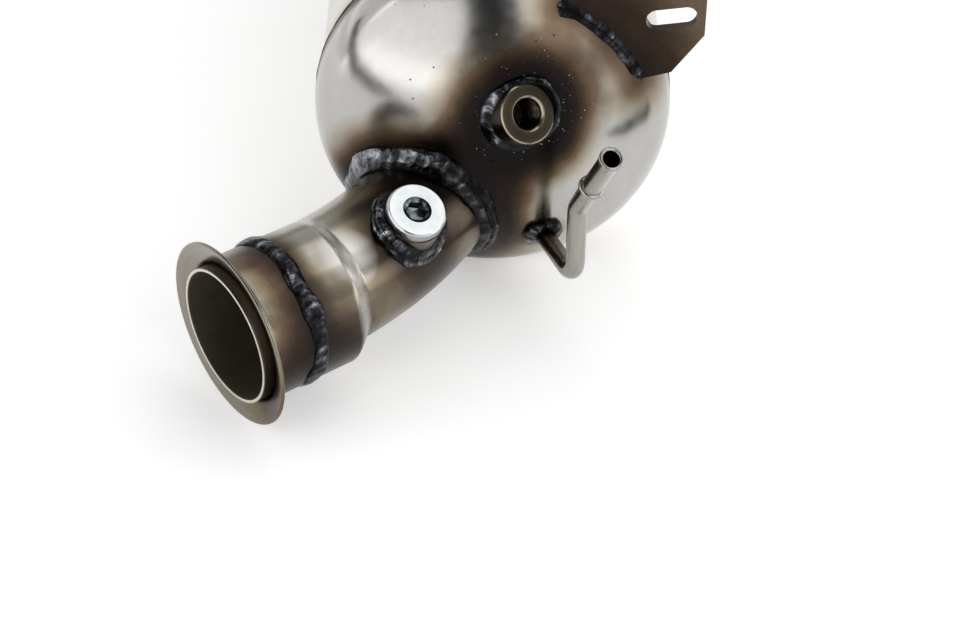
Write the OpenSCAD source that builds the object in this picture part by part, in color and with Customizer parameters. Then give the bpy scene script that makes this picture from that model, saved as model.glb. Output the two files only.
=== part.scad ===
// Diesel particulate filter with a dished inlet end, an angled inlet elbow and a plain outlet.
// The canister lies along Y. The inlet dish faces -Y and the outlet mouth is at the origin.

/* [Canister] */
// outer diameter of the canister shell
shell_d = 146.6; // [120:0.2:180]
// sheet thickness of the canister shell
shell_wall = 1.5; // [1:0.1:3]
// length of the canister shell
shell_len = 230; // [180:1:320]
// radial clearance between the shell and the end pieces slid over it
slide_gap = 0.2; // [0.05:0.05:0.4]

/* [Inlet dish] */
// sheet thickness of the dish
dish_wall = 1.5; // [1:0.1:3]
// straight skirt of the dish
dish_skirt = 3; // [2:0.5:12]
// knuckle radius of the dish
knuckle_r = 26; // [18:0.5:34]
// crown radius of the dish
crown_r = 110; // [95:1:160]

/* [Inlet elbow] */
// outer diameter of the elbow tube
tube_d = 54.5; // [46:0.5:58]
// sheet thickness of the elbow
tube_wall = 1.5; // [1:0.1:2.5]
// sideways place of the tube axis on the dish
entry_x = -32; // [-35:0.5:-28]
// height of the tube axis above the canister axis
entry_z = -33.8; // [-36:0.2:-28]
// distance from the dish rim at which the tube axis meets the dish
entry_out = 36; // [34:0.5:40]
// angle of the tube to the canister axis where it meets the dish
tube_angle_in = 28; // [24:1:32]
// angle of the tube to the canister axis at the shoulder
tube_angle_out = 47; // [42:1:52]
// angle of the tube to the canister axis at its inner end
tube_angle_end = 17; // [15:0.5:18]
// centre line radius of the elbow bend
bend_r = 184; // [160:1:220]

/* [Expanded end] */
// angle of the expanded end to the canister axis
end_angle = 52.5; // [46:0.5:58]
// outer diameter of the expanded end and the collar
end_d = 60.6; // [58:0.2:66]
// length of the expanded end
end_len = 22.5; // [16:0.5:40]
// corner radius of the shoulder
shoulder_r = 4; // [2.5:0.5:6]
// shift of the tube towards the inside of the bend
shift_in = 2.2; // [0:0.1:2.4]
// shift of the tube upwards
shift_up = 1.8; // [0:0.1:2]

/* [Inlet flange] */
// outer diameter of the flared lip
lip_d = 78; // [72:0.5:90]
// length from the lip edge to the weld
collar_len = 24; // [18:0.5:40]
// bend radius at the root of the lip
lip_r = 2; // [1:0.5:4]
// angle through which the lip is bent
lip_bend = 70; // [55:1:85]
// radial clearance between the collar and the liner
liner_gap = 0.1; // [0.02:0.02:0.3]
// length of the liner pipe
liner_len = 38; // [20:1:46]
// distance the liner stands proud of the lip
liner_proud = 1.4; // [0:0.1:4]

/* [Sensor boss] */
// outer diameter of the sensor boss and the plug head
boss_d = 24.6; // [22:0.2:28]
// bore of the sensor boss
boss_bore = 16.4; // [14:0.1:18]
// height of the boss seat above the tube centre
boss_seat = 29; // [28:0.2:34]
// place of the boss along the elbow bend
boss_turn = 8; // [6:0.5:11]
// shift of the boss towards the outside of the bend
boss_off = 7; // [4:0.5:8]
// lean of the boss from upright towards the outside of the bend
boss_lean = 27; // [20:1:32]
// slant of the boss along the tube
boss_slant = 8; // [0:1:12]
// height of the plug head
head_h = 4.2; // [3:0.2:7]
// hexagon socket width across flats
socket_af = 8; // [6:0.5:10]
// depth of the hexagon socket
socket_depth = 6; // [3:0.5:8]
// length of the plug shank
shank_len = 9; // [6:0.5:11]
// radial clearance of the plug shank
shank_gap = 0.1; // [0.05:0.05:0.3]
// chamfer of the plug head
head_chamfer = 0.8; // [0.4:0.1:1.2]
// widening of the socket mouth
socket_mouth = 1; // [0.4:0.1:1.4]
// thickness of the sealing washer
washer_t = 1.5; // [1:0.1:3]
// set-back of the sealing washer from the boss edge
washer_back = 0.8; // [0.2:0.1:1.5]

/* [Temperature boss] */
// outer diameter of the temperature boss
temp_d = 24.6; // [20:0.2:28]
// bore of the temperature boss
temp_bore = 12.4; // [8:0.1:14]
// sideways place of the boss face
temp_x = 14.1; // [8:0.5:20]
// height of the boss face centre
temp_z = 23.8; // [18:0.5:30]
// distance of the boss face centre from the dish rim
temp_out = 47; // [46:0.5:56]
// swing of the boss axis to the side
temp_swing = 31; // [20:1:40]
// tilt of the boss axis upwards
temp_tilt = 31; // [20:1:40]
// length of the boss
temp_len = 18; // [17:0.5:24]
// chamfer of the bore mouth
temp_chamfer = 1.3; // [0.5:0.1:2]
// chamfer of the outer edge of the boss
temp_edge = 0.6; // [0.3:0.1:1]

/* [Pressure pipe] */
// outer diameter of the pressure pipe
pipe_d = 8; // [6:0.5:10]
// wall of the pressure pipe
pipe_wall = 1; // [0.6:0.1:1.5]
// sideways place of the pipe on the dish
pipe_x = 18.5; // [16:0.5:24]
// height of the pipe on the dish
pipe_z = -45; // [-46:0.5:-38]
// distance from the dish rim at which the pipe begins
pipe_start = 26; // [22:0.5:28]
// centre line radius of the pipe bends
pipe_bend_r = 9; // [8:0.5:12]
// swing of the pipe to the side
pipe_swing = 21.5; // [15:0.5:26]
// length of the first leg
pipe_leg_a = 33; // [30:1:45]
// length of the upright leg
pipe_leg_b = 24; // [18:1:40]
// lean of the hose end
hose_lean = 35; // [20:1:50]
// outer diameter of the hose end
hose_d = 8.6; // [8.2:0.1:9.6]
// length of the hose end
hose_len = 49; // [40:1:60]
// distance of the hose bead from the pipe mouth
hose_bead = 30; // [15:1:36]
// height of the hose bead
bead_h = 1.1; // [0.5:0.1:2]

/* [Bracket] */
// thickness of the bracket plate
plate_t = 4; // [3:0.5:6]
// distance of the bracket face from the dish rim
plate_out = 23.5; // [21:0.5:26]
// sideways place of the outer bracket edge
plate_edge = 85; // [82:0.5:100]
// height of the upper bracket edge
plate_top = 82; // [80:0.5:95]
// angle round the dish at which the bracket begins
plate_from = 23; // [21:1:25]
// angle round the dish through which the bracket is welded
plate_sweep = 43; // [40:1:45]
// rise of the bracket flank
plate_flank = 3.3; // [2:0.1:5]
// width of the lower bracket chamfer
chamfer_w = 12.5; // [8:0.5:14]
// height of the lower bracket chamfer
chamfer_h = 17.2; // [12:0.2:18]
// corner radius of the outer bracket corner
plate_corner = 14; // [6:1:20]
// slot width
slot_w = 9; // [6.6:0.2:11]
// slot length
slot_len = 20.7; // [14:0.1:24]
// slot centre, sideways
slot_x = 71.4; // [69:0.2:74]
// slot centre, height
slot_z = 53.6; // [51:0.2:58]
// slant of the slot
slot_slant = 7; // [0:1:12]

/* [Welds] */
// leg of the elbow weld along the dish
elbow_bead_a = 8; // [4:0.5:9]
// leg of the elbow weld along the tube
elbow_bead_b = 6; // [3:0.5:9]
// leg of the boss welds
boss_bead = 4; // [3:0.5:6]
// leg of the pressure pipe weld
pipe_bead = 4; // [2:0.5:5]
// radius of the collar weld bead
ring_bead = 4.2; // [3:0.2:5]
// depth of the collar weld bead centre below the surface
ring_sink = 1.8; // [1:0.1:2.5]
// radius of the seam beads
seam_bead = 1.8; // [1.4:0.1:3]
// radius of the bracket weld bead
plate_bead = 3.5; // [3:0.5:6]
// depth of the seam beads in their corners
seam_sink = 0.4; // [0.2:0.1:0.8]
// unevenness of the weld beads
bead_ripple = 0.1; // [0:0.02:0.2]

/* [Filter bodies] */
// thickness of the support mats
mat_t = 5; // [3:0.5:8]
// distance of the mats from the ends of the filter bodies
mat_back = 3; // [0:0.5:6]
// fit between the shell, the mats and the filter bodies
mat_gap = 0.05; // [0.02:0.01:0.2]
// distance from the dish rim to the oxidation catalyst
catalyst_at = 18; // [10:1:30]
// length of the oxidation catalyst
catalyst_len = 60; // [40:1:70]
// distance between the two filter bodies
body_gap = 14; // [8:1:20]
// length of the soot filter body
filter_len = 120; // [100:1:125]

/* [Outlet] */
// overlap of the outlet cone on the shell
cone_lap = 10; // [6:1:14]
// straight skirt of the outlet cone beyond the shell
cone_skirt = 2; // [1:0.5:8]
// length of the outlet cone
cone_len = 44; // [35:1:70]
// sheet thickness of the outlet cone
cone_wall = 1.5; // [1:0.1:3]
// length of the outlet neck
neck_len = 14; // [12:1:24]
// outer diameter of the outlet pipe
outlet_d = 60; // [50:0.5:70]
// wall of the outlet pipe
outlet_wall = 2; // [1.5:0.1:3]
// free length of the outlet pipe
outlet_len = 54; // [40:1:90]
// step from the outlet pipe down to its spigot
spigot_step = 0.6; // [0.5:0.1:1]
// length of the reduced spigot beyond the neck
spigot_len = 3; // [3:0.5:6]
// insertion of the outlet pipe in the neck
outlet_lap = 10; // [6:1:12]

/* [Hidden] */
$fn = 64;
// overlap used to make clean cuts
cut = 1;
steel = [0.72, 0.71, 0.69];
dark_steel = [0.36, 0.34, 0.32];
weld_grey = [0.30, 0.30, 0.31];
bright_zinc = [0.86, 0.87, 0.88];
copper_tone = [0.72, 0.45, 0.30];
ceramic_tone = [0.62, 0.55, 0.44];
filter_tone = [0.28, 0.28, 0.29];
mat_tone = [0.90, 0.87, 0.78];

dish_r = shell_d / 2 + slide_gap + dish_wall;
crown_back = sqrt(pow(crown_r - knuckle_r, 2) - pow(dish_r - knuckle_r, 2));
crown_half = atan2(dish_r - knuckle_r, crown_back);
crown_edge = crown_r * sin(crown_half);

shell_start = -dish_skirt;
shell_end = shell_start + shell_len;
cone_start = shell_end - cone_lap;
cone_turn = shell_end + cone_skirt;
cone_r = shell_d / 2 + slide_gap + cone_wall;
spigot_r = outlet_d / 2 - spigot_step;
neck_r = spigot_r + slide_gap + cone_wall;
neck_start = cone_turn + cone_len;
neck_end = neck_start + neck_len;
cone_slope = atan2(cone_r - neck_r, cone_len);
cone_mitre = cone_wall * tan(cone_slope / 2);
outlet_start = neck_end - outlet_lap;
outlet_end = neck_end + outlet_len;

tube_r = tube_d / 2;
end_r = end_d / 2;
entry = [entry_x, -entry_out, entry_z];
bend_c = entry + bend_r * [-cos(tube_angle_in), sin(tube_angle_in), 0];
bend_start = bend_c + bend_r * [cos(tube_angle_out), -sin(tube_angle_out), 0];
end_dir = [sin(end_angle), cos(end_angle), 0];
end_side = [-cos(end_angle), sin(end_angle), 0];
shoulder = bend_start - shift_in * end_side - [0, 0, shift_up];
lip_face = shoulder - (end_len + collar_len) * end_dir;
// turn of the bend hidden inside the shoulder
shoulder_turn = 1.2;

lip_run = (lip_d / 2 - end_r - lip_r + lip_r * cos(lip_bend)) / sin(lip_bend);
lip_root = (lip_r + tube_wall) * sin(lip_bend) + lip_run * cos(lip_bend);
lip_c = [end_r + lip_r, lip_root];

socket_r = socket_af / sqrt(3);
boss_at = tube_angle_in + boss_turn;
boss_foot = bend_c + (bend_r + boss_off) * [cos(boss_at), -sin(boss_at), 0];
boss_tip = [sin(boss_lean) * cos(boss_slant), -sin(boss_slant), cos(boss_lean) * cos(boss_slant)];
boss_up = [boss_tip[0] * cos(boss_at) + boss_tip[1] * sin(boss_at),
  boss_tip[1] * cos(boss_at) - boss_tip[0] * sin(boss_at), boss_tip[2]];

temp_face = [temp_x, -temp_out, temp_z];
temp_dir = [cos(temp_tilt) * sin(temp_swing), -cos(temp_tilt) * cos(temp_swing), sin(temp_tilt)];

pipe_r = pipe_d / 2;
hose_r = hose_d / 2;
hose_wall = hose_r - pipe_r + 0.8 * pipe_wall;
hose_lap = 0.6;
pipe_base = [pipe_x, -pipe_start, pipe_z];
pipe_dir = [sin(pipe_swing), -cos(pipe_swing), 0];

weld_r = dish_r - knuckle_r + sqrt(pow(knuckle_r, 2) - pow(plate_out - dish_skirt, 2));
weld_low = weld_r * [cos(plate_from), sin(plate_from)];
weld_high = weld_r * [cos(plate_from + plate_sweep), sin(plate_from + plate_sweep)];

body_r = shell_d / 2 - shell_wall - mat_gap - mat_t - mat_gap;
filter_at = catalyst_at + catalyst_len + body_gap;

// Surface of the dish, as height over the rim plane at a radius.
function dish_h(r) = r <= crown_edge
  ? dish_skirt - crown_back + sqrt(crown_r * crown_r - r * r)
  : dish_skirt + sqrt(max(0, knuckle_r * knuckle_r - pow(r - dish_r + knuckle_r, 2)));

// Signed height of a point over the dish or over the elbow tube, positive outside.
function over_dish(p) = -p[1] - dish_h(min(dish_r, norm([p[0], p[2]])));
function over_tube(p) =
  norm([norm([p[0] - bend_c[0], p[1] - bend_c[1]]) - bend_r, p[2] - entry_z]) - tube_r;
function over(p, on_tube) = on_tube ? over_tube(p) : over_dish(p);
function slope(p, on_tube) = unit([for (a = [[0.05, 0, 0], [0, 0.05, 0], [0, 0, 0.05]])
  over(p + a, on_tube) - over(p - a, on_tube)]);
function unit(v) = v / norm(v);
function meet(p, d, lo, hi, n, on_tube) = n == 0 ? p + d * (lo + hi) / 2
  : over(p + d * (lo + hi) / 2, on_tube) > 0 ? meet(p, d, (lo + hi) / 2, hi, n - 1, on_tube)
  : meet(p, d, lo, (lo + hi) / 2, n - 1, on_tube);

// Section of a weld bead at one place of the joint line between a round piece and a surface.
function bead_section(p, out, up, a, b, on_tube) =
  let (n = slope(p, on_tube), v = unit(out - (out * n) * n))
  [p - 0.8 * v - 0.8 * n,
   p + a * v - 0.8 * n,
   p + 0.95 * a * v + 0.25 * b * up,
   p + 0.75 * a * v + 0.66 * b * up,
   p + 0.30 * a * v + 0.96 * b * up,
   p - 0.8 * v + b * up];

// Closed bead through a ring of sections.
module bead(pts, steps) {
  m = 6;
  faces = [for (i = [0 : steps - 1], j = [0 : m - 1])
    let (i2 = (i + 1) % steps, j2 = (j + 1) % m)
    each [[i * m + j, i2 * m + j2, i * m + j2], [i * m + j, i2 * m + j, i2 * m + j2]]];
  polyhedron(points = pts, faces = faces);
}
function ripple(t) = 1 + bead_ripple * (sin(7 * t) + 0.6 * sin(11 * t + 40));

// Bead round the joint line of a cylinder (foot, direction up, radius) with a surface.
module joint_bead(foot, up, r, leg, reach, on_tube, steps) {
  e1 = unit(cross(up, abs(up[2]) < 0.9 ? [0, 0, 1] : [1, 0, 0]));
  e2 = cross(up, e1);
  bead([for (i = [0 : steps - 1])
    let (t = 360 * i / steps, out = e1 * cos(t) + e2 * sin(t), k = leg * ripple(t))
    each bead_section(meet(foot + r * out + reach * up, -up, 0, 2 * reach, 30, on_tube),
      out, up, k, k, on_tube)], steps);
}

// Joint line of the elbow tube with the dish: the turn at which the tube wall at an angle leaves the dish.
function tube_wall_at(f, t) =
  bend_c + (bend_r + tube_r * cos(t)) * [cos(f), -sin(f), 0] + [0, 0, tube_r * sin(t)];
function tube_leaves(t, lo, hi, n) = n == 0 ? (lo + hi) / 2
  : over_dish(tube_wall_at((lo + hi) / 2, t)) > 0 ? tube_leaves(t, lo, (lo + hi) / 2, n - 1)
  : tube_leaves(t, (lo + hi) / 2, hi, n - 1);
module elbow_bead(steps) bead([for (i = [0 : steps - 1])
  let (t = -360 * i / steps, f = tube_leaves(t, 5, tube_angle_out, 30), k = ripple(t))
  each bead_section(tube_wall_at(f, t), [cos(t) * cos(f), -cos(t) * sin(f), sin(t)], [-sin(f), -cos(f), 0],
    elbow_bead_a * k, elbow_bead_b * k, false)], steps);

// Places a piece so that its Z axis lies along the canister, towards the outlet or the inlet.
module to_outlet() rotate([-90, 0, 0]) children();
module to_inlet() rotate([90, 0, 0]) children();
module in_frame() translate([0, -outlet_end, 0]) children();
module along_end() translate(lip_face) rotate([0, 90, 90 - end_angle]) children();

// Profile of the dish, set inwards by a sheet thickness.
module dish_area(inset) {
  square([dish_r - inset, dish_skirt]);
  intersection() {
    translate([0, dish_skirt - crown_back]) circle(r = crown_r - inset, $fn = 240);
    translate([0, dish_skirt]) square([(crown_r - inset) * sin(crown_half), crown_r]);
  }
  intersection() {
    translate([dish_r - knuckle_r, dish_skirt]) circle(r = knuckle_r - inset, $fn = 120);
    translate([(crown_r - inset) * sin(crown_half), dish_skirt]) square([dish_r, knuckle_r]);
  }
}
module dish_solid() to_inlet() rotate_extrude($fn = 96) dish_area(0);

// Tube of the elbow, set inwards by a sheet thickness and running past its inner end by a turn.
module elbow_tube(inset, past) translate(bend_c) rotate([0, 0, -tube_angle_out - shoulder_turn])
  rotate_extrude(angle = tube_angle_out + shoulder_turn - tube_angle_end + past, $fn = 360)
    translate([bend_r, 0]) circle(r = tube_r - inset, $fn = 96);

// Expanded end of the elbow with a rounded shoulder, set inwards by a sheet thickness.
module elbow_end(inset, lead) {
  long = end_len - inset;
  round_r = shoulder_r - inset;
  translate([0, 0, collar_len]) rotate_extrude($fn = 96) polygon(concat(
    [[0, -lead], [end_r - inset, -lead]],
    arc([end_r - shoulder_r, long - round_r], round_r, 0, 90),
    [[0, long]]));
}
function arc(c, r, from, to) = [for (i = [0 : 8])
  let (t = from + (to - from) * i / 8) c + r * [cos(t), sin(t)]];

// Frames of the two bosses, with Z along the boss.
module boss_frame() translate(boss_foot) rotate([0, 0, -boss_at])
  rotate([boss_slant, boss_lean, 0]) children();
module temp_frame() translate(temp_face) rotate([0, 0, temp_swing])
  rotate([90 - temp_tilt, 0, 0]) children();

// Ring section of the pressure pipe and its bends.
module pipe_ring() difference() {
  circle(r = pipe_r, $fn = 48);
  circle(r = pipe_r - pipe_wall, $fn = 48);
}
module pipe_bend(turn) {
  rotate([0, 0, 180]) rotate([90, 0, 0]) translate([-pipe_bend_r, 0, 0])
    rotate_extrude(angle = turn, $fn = 96) translate([pipe_bend_r, 0]) pipe_ring();
  translate([pipe_bend_r * (1 - cos(turn)), 0, pipe_bend_r * sin(turn)]) rotate([0, turn, 0]) children();
}
module pipe_frame() translate(pipe_base) rotate([0, 90, pipe_swing - 90]) rotate([0, 0, 180]) children();
module hose_end() rotate_extrude($fn = 48) polygon(concat(
  [[hose_r - hose_wall, -hose_lap], [hose_r, -hose_lap]],
  [for (i = [-4 : 4]) [hose_r + bead_h * cos(22.5 * i), hose_len - hose_bead + 2 * bead_h * sin(22.5 * i)]],
  [[hose_r, hose_len], [hose_r - hose_wall, hose_len]]));

// Pressed flange: collar and flared lip in one piece.
module inlet_flange() color(steel) in_frame() along_end() rotate_extrude($fn = 96) polygon(concat(
  [[end_r, collar_len], [end_r - tube_wall, collar_len]],
  arc(lip_c, lip_r + tube_wall, 180, 180 + lip_bend),
  [lip_c + lip_edge(lip_r + tube_wall), lip_c + lip_edge(lip_r)],
  arc(lip_c, lip_r, 180 + lip_bend, 180)));
function lip_edge(r) =
  r * [-cos(lip_bend), -sin(lip_bend)] + lip_run * [sin(lip_bend), -cos(lip_bend)];

// Liner pipe inside the collar.
module inlet_liner() color(steel) in_frame() along_end() translate([0, 0, -liner_proud]) difference() {
  cylinder(r = end_r - tube_wall - liner_gap, h = liner_len);
  translate([0, 0, -cut]) cylinder(r = end_r - 2 * tube_wall - liner_gap, h = liner_len + 2 * cut);
}

// Weld between the collar and the elbow.
module flange_weld() color(weld_grey) in_frame() along_end() translate([0, 0, collar_len]) difference() {
  rotate_extrude() translate([end_r - ring_sink, 0]) circle(r = ring_bead);
  cylinder(r = end_r, h = 4 * ring_bead, center = true);
}

// Elbow tube with its expanded end.
module inlet_elbow() color(steel) in_frame() difference() {
  union() {
    elbow_tube(0, 0);
    along_end() elbow_end(0, 0);
  }
  elbow_tube(tube_wall, 1);
  along_end() elbow_end(tube_wall, cut);
  boss_frame() cylinder(r = boss_bore / 2 + shank_gap, h = boss_seat);
}

// Weld between the elbow and the dish.
module elbow_weld() color(weld_grey) in_frame() difference() {
  elbow_bead(48);
  dish_solid();
  elbow_tube(0, 0);
}

// Dished inlet end with its openings.
module inlet_dish() color(steel) in_frame() difference() {
  to_inlet() rotate_extrude($fn = 96) difference() {
    dish_area(0);
    dish_area(dish_wall);
    translate([0, -cut]) square([dish_r - dish_wall, 2 * cut]);
  }
  elbow_tube(0, 0);
  temp_frame() translate([0, 0, -2 * temp_len]) cylinder(r = temp_d / 2, h = 2 * temp_len, $fn = 96);
  pipe_frame() translate([0, 0, -cut]) cylinder(r = pipe_r, h = pipe_leg_a);
}

// Threaded boss for the oxygen sensor on the elbow.
module sensor_boss() color(dark_steel) in_frame() difference() {
  boss_frame() difference() {
    cylinder(r = boss_d / 2, h = boss_seat);
    translate([0, 0, -cut]) cylinder(r = boss_bore / 2 + shank_gap, h = boss_seat + 2 * cut);
  }
  elbow_tube(0, 0);
}

// Weld round the sensor boss.
module sensor_boss_weld() color(weld_grey) in_frame() difference() {
  joint_bead(boss_foot + boss_seat / 2 * boss_up, boss_up, boss_d / 2, boss_bead,
    boss_seat / 2, true, 36);
  elbow_tube(0, 0);
  boss_frame() cylinder(r = boss_d / 2, h = boss_seat, $fn = 160);
}

// Sealing washer under the plug head.
module plug_washer() color(copper_tone) in_frame() boss_frame() translate([0, 0, boss_seat]) difference() {
  cylinder(r = boss_d / 2 - washer_back, h = washer_t);
  translate([0, 0, -cut]) cylinder(r = boss_bore / 2 + shank_gap, h = washer_t + 2 * cut);
}

// Plug with a hexagon socket.
module sensor_plug() color(bright_zinc) in_frame() boss_frame() translate([0, 0, boss_seat + washer_t])
  difference() {
    union() {
      rotate_extrude() polygon([[0, 0], [boss_d / 2, 0], [boss_d / 2, head_h - head_chamfer],
        [boss_d / 2 - head_chamfer, head_h], [0, head_h]]);
      translate([0, 0, -shank_len]) cylinder(r = boss_bore / 2, h = shank_len);
    }
    translate([0, 0, head_h - socket_depth]) cylinder(r = socket_r, h = socket_depth + cut, $fn = 6);
    translate([0, 0, head_h - socket_mouth])
      cylinder(r1 = socket_r, r2 = socket_r + 2 * socket_mouth, h = 2 * socket_mouth);
  }

// Threaded boss for the temperature sensor, set through the dish.
module temperature_boss() color(dark_steel) in_frame() temp_frame() translate([0, 0, -temp_len])
  rotate_extrude($fn = 96) polygon([[temp_bore / 2, 0], [temp_d / 2, 0],
    [temp_d / 2, temp_len - temp_edge], [temp_d / 2 - temp_edge, temp_len],
    [temp_bore / 2 + temp_chamfer, temp_len], [temp_bore / 2, temp_len - temp_chamfer]]);

// Weld round the temperature boss.
module temperature_boss_weld() color(weld_grey) in_frame() difference() {
  joint_bead(temp_face - temp_len / 2 * temp_dir, temp_dir, temp_d / 2, boss_bead,
    1.4 * temp_len, false, 36);
  dish_solid();
  temp_frame() translate([0, 0, -2 * temp_len])
    cylinder(r = temp_d / 2, h = 2 * temp_len, $fn = 160);
}

// Bent pipe for the pressure sensor hose.
module pressure_pipe() color(steel) in_frame() pipe_frame() {
  linear_extrude(height = pipe_leg_a) pipe_ring();
  translate([0, 0, pipe_leg_a]) pipe_bend(90) union() {
    linear_extrude(height = pipe_leg_b) pipe_ring();
    translate([0, 0, pipe_leg_b]) rotate([0, 0, 180]) pipe_bend(hose_lean) hose_end();
  }
}

// Weld round the pressure pipe.
module pressure_pipe_weld() color(weld_grey) in_frame() difference() {
  joint_bead(pipe_base + pipe_leg_a / 4 * pipe_dir, pipe_dir, pipe_r, pipe_bead,
    pipe_leg_a / 2, false, 24);
  dish_solid();
  pipe_frame() translate([0, 0, -cut]) cylinder(r = pipe_r, h = pipe_leg_a, $fn = 160);
}

// Bracket plate welded to the knuckle of the dish.
module plate_area() difference() {
  union() {
    polygon([0.75 * weld_low, weld_low,
      [plate_edge - chamfer_w, weld_low[1] + plate_flank],
      [plate_edge, weld_low[1] + plate_flank + chamfer_h],
      [plate_edge, plate_top - plate_corner],
      [plate_edge - plate_corner, plate_top],
      [weld_high[0] + 2 * plate_flank + chamfer_h, plate_top],
      [weld_high[0] + 2 * plate_flank, plate_top - chamfer_w],
      weld_high, 0.75 * weld_high]);
    translate([plate_edge - plate_corner, plate_top - plate_corner]) circle(r = plate_corner);
  }
  translate([slot_x, slot_z]) rotate(slot_slant) {
    square([slot_len - slot_w, slot_w], center = true);
    for (s = [-1, 1]) translate([s * (slot_len - slot_w) / 2, 0]) circle(r = slot_w / 2, $fn = 48);
  }
}
module bracket() color(dark_steel) in_frame() difference() {
  translate([0, plate_t - plate_out, 0]) to_inlet() linear_extrude(height = plate_t) plate_area();
  dish_solid();
}

// Weld along the front of the bracket.
module bracket_weld() color(weld_grey) in_frame() to_inlet() rotate([0, 0, plate_from])
  rotate_extrude(angle = plate_sweep) difference() {
    translate([weld_r, plate_out]) circle(r = plate_bead, $fn = 32);
    dish_area(0);
    translate([0, plate_out - 2 * plate_bead]) square([2 * dish_r, 2 * plate_bead]);
  }

// Weld between the dish and the shell.
module front_seam_weld() color(weld_grey) in_frame() to_outlet() rotate_extrude() intersection() {
  translate([shell_d / 2 + seam_sink, seam_sink]) circle(r = seam_bead, $fn = 32);
  translate([shell_d / 2, 0]) square([4 * seam_bead, 4 * seam_bead]);
}

// Canister shell.
module canister_shell() color(steel) in_frame() to_outlet() translate([0, 0, shell_start]) difference() {
  cylinder(r = shell_d / 2, h = shell_len);
  translate([0, 0, -cut]) cylinder(r = shell_d / 2 - shell_wall, h = shell_len + 2 * cut);
}

// Oxidation catalyst and soot filter, each in its support mat.
module body(at, long) in_frame() to_outlet() translate([0, 0, at]) cylinder(r = body_r, h = long);
module mat(at, long) in_frame() to_outlet() translate([0, 0, at]) difference() {
  cylinder(r = body_r + mat_gap + mat_t, h = long);
  translate([0, 0, -cut]) cylinder(r = body_r + mat_gap, h = long + 2 * cut);
}
module oxidation_catalyst() color(ceramic_tone) body(catalyst_at, catalyst_len);
module catalyst_mat() color(mat_tone) mat(catalyst_at + mat_back, catalyst_len - 2 * mat_back);
module filter_body() color(filter_tone) body(filter_at, filter_len);
module filter_mat() color(mat_tone) mat(filter_at + mat_back, filter_len - 2 * mat_back);

// Weld between the shell and the outlet cone.
module rear_seam_weld() color(weld_grey) in_frame() to_outlet() rotate_extrude() intersection() {
  translate([shell_d / 2 + seam_sink, cone_start - seam_sink]) circle(r = seam_bead, $fn = 32);
  translate([shell_d / 2, cone_start - 4 * seam_bead]) square([4 * seam_bead, 4 * seam_bead]);
}

// Outlet cone with skirt and neck.
module outlet_cone() color(steel) in_frame() to_outlet() rotate_extrude() polygon([
  [cone_r, cone_start], [cone_r, cone_turn], [neck_r, neck_start], [neck_r, neck_end],
  [neck_r - cone_wall, neck_end], [neck_r - cone_wall, neck_start - cone_mitre],
  [cone_r - cone_wall, cone_turn - cone_mitre], [cone_r - cone_wall, cone_start]]);

// Weld round the outlet pipe.
module outlet_weld() color(weld_grey) in_frame() to_outlet() rotate_extrude() intersection() {
  translate([spigot_r + seam_sink, neck_end + seam_sink]) circle(r = seam_bead, $fn = 32);
  translate([spigot_r, neck_end]) square([4 * seam_bead, 4 * seam_bead]);
}

// Plain outlet pipe with a reduced spigot in the neck.
module outlet_pipe() color(steel) in_frame() to_outlet() rotate_extrude($fn = 96) polygon([
  [outlet_d / 2 - outlet_wall, outlet_start],
  [spigot_r, outlet_start],
  [spigot_r, neck_end + spigot_len],
  [outlet_d / 2, neck_end + spigot_len],
  [outlet_d / 2, outlet_end],
  [outlet_d / 2 - outlet_wall, outlet_end]]);

inlet_flange();
inlet_liner();
flange_weld();
inlet_elbow();
elbow_weld();
inlet_dish();
sensor_boss();
sensor_boss_weld();
plug_washer();
sensor_plug();
temperature_boss();
temperature_boss_weld();
pressure_pipe();
pressure_pipe_weld();
bracket();
bracket_weld();
front_seam_weld();
canister_shell();
oxidation_catalyst();
catalyst_mat();
filter_body();
filter_mat();
rear_seam_weld();
outlet_cone();
outlet_weld();
outlet_pipe();
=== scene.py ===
import random
from math import acos, atan2, cos, degrees, exp, hypot, pi, radians, sin, sqrt, tau

import bpy
from mathutils import Matrix, Vector, noise


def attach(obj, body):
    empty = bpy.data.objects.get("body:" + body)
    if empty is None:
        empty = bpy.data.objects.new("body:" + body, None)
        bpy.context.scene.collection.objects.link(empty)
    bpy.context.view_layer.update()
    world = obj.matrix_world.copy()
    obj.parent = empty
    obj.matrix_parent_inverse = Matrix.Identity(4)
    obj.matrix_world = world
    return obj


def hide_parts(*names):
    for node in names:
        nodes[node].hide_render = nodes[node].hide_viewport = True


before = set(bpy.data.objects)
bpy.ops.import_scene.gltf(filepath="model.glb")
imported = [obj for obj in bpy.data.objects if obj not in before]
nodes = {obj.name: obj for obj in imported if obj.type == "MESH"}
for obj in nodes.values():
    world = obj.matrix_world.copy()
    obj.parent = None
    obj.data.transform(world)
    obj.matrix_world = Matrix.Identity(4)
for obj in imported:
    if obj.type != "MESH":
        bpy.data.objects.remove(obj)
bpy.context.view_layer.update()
mm = 0.001
rimY = -0.341  # the dish rim in the frame, the outlet mouth is at zero
print("frame loaded:", len(nodes), "nodes")


# Points and directions, with sizes in mm and degrees as in the solids

def place(x, y, z):
    return Vector((x * mm, y * mm + rimY, z * mm))


up = Vector((0, 0, 1))

dish = dict(rim=75.0, skirt=3.0, knuckle=26.0, crown=110.0)
dish["back"] = sqrt((dish["crown"] - dish["knuckle"]) ** 2 - (dish["rim"] - dish["knuckle"]) ** 2)
crownCentre = place(0, dish["back"] - dish["skirt"], 0)

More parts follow.
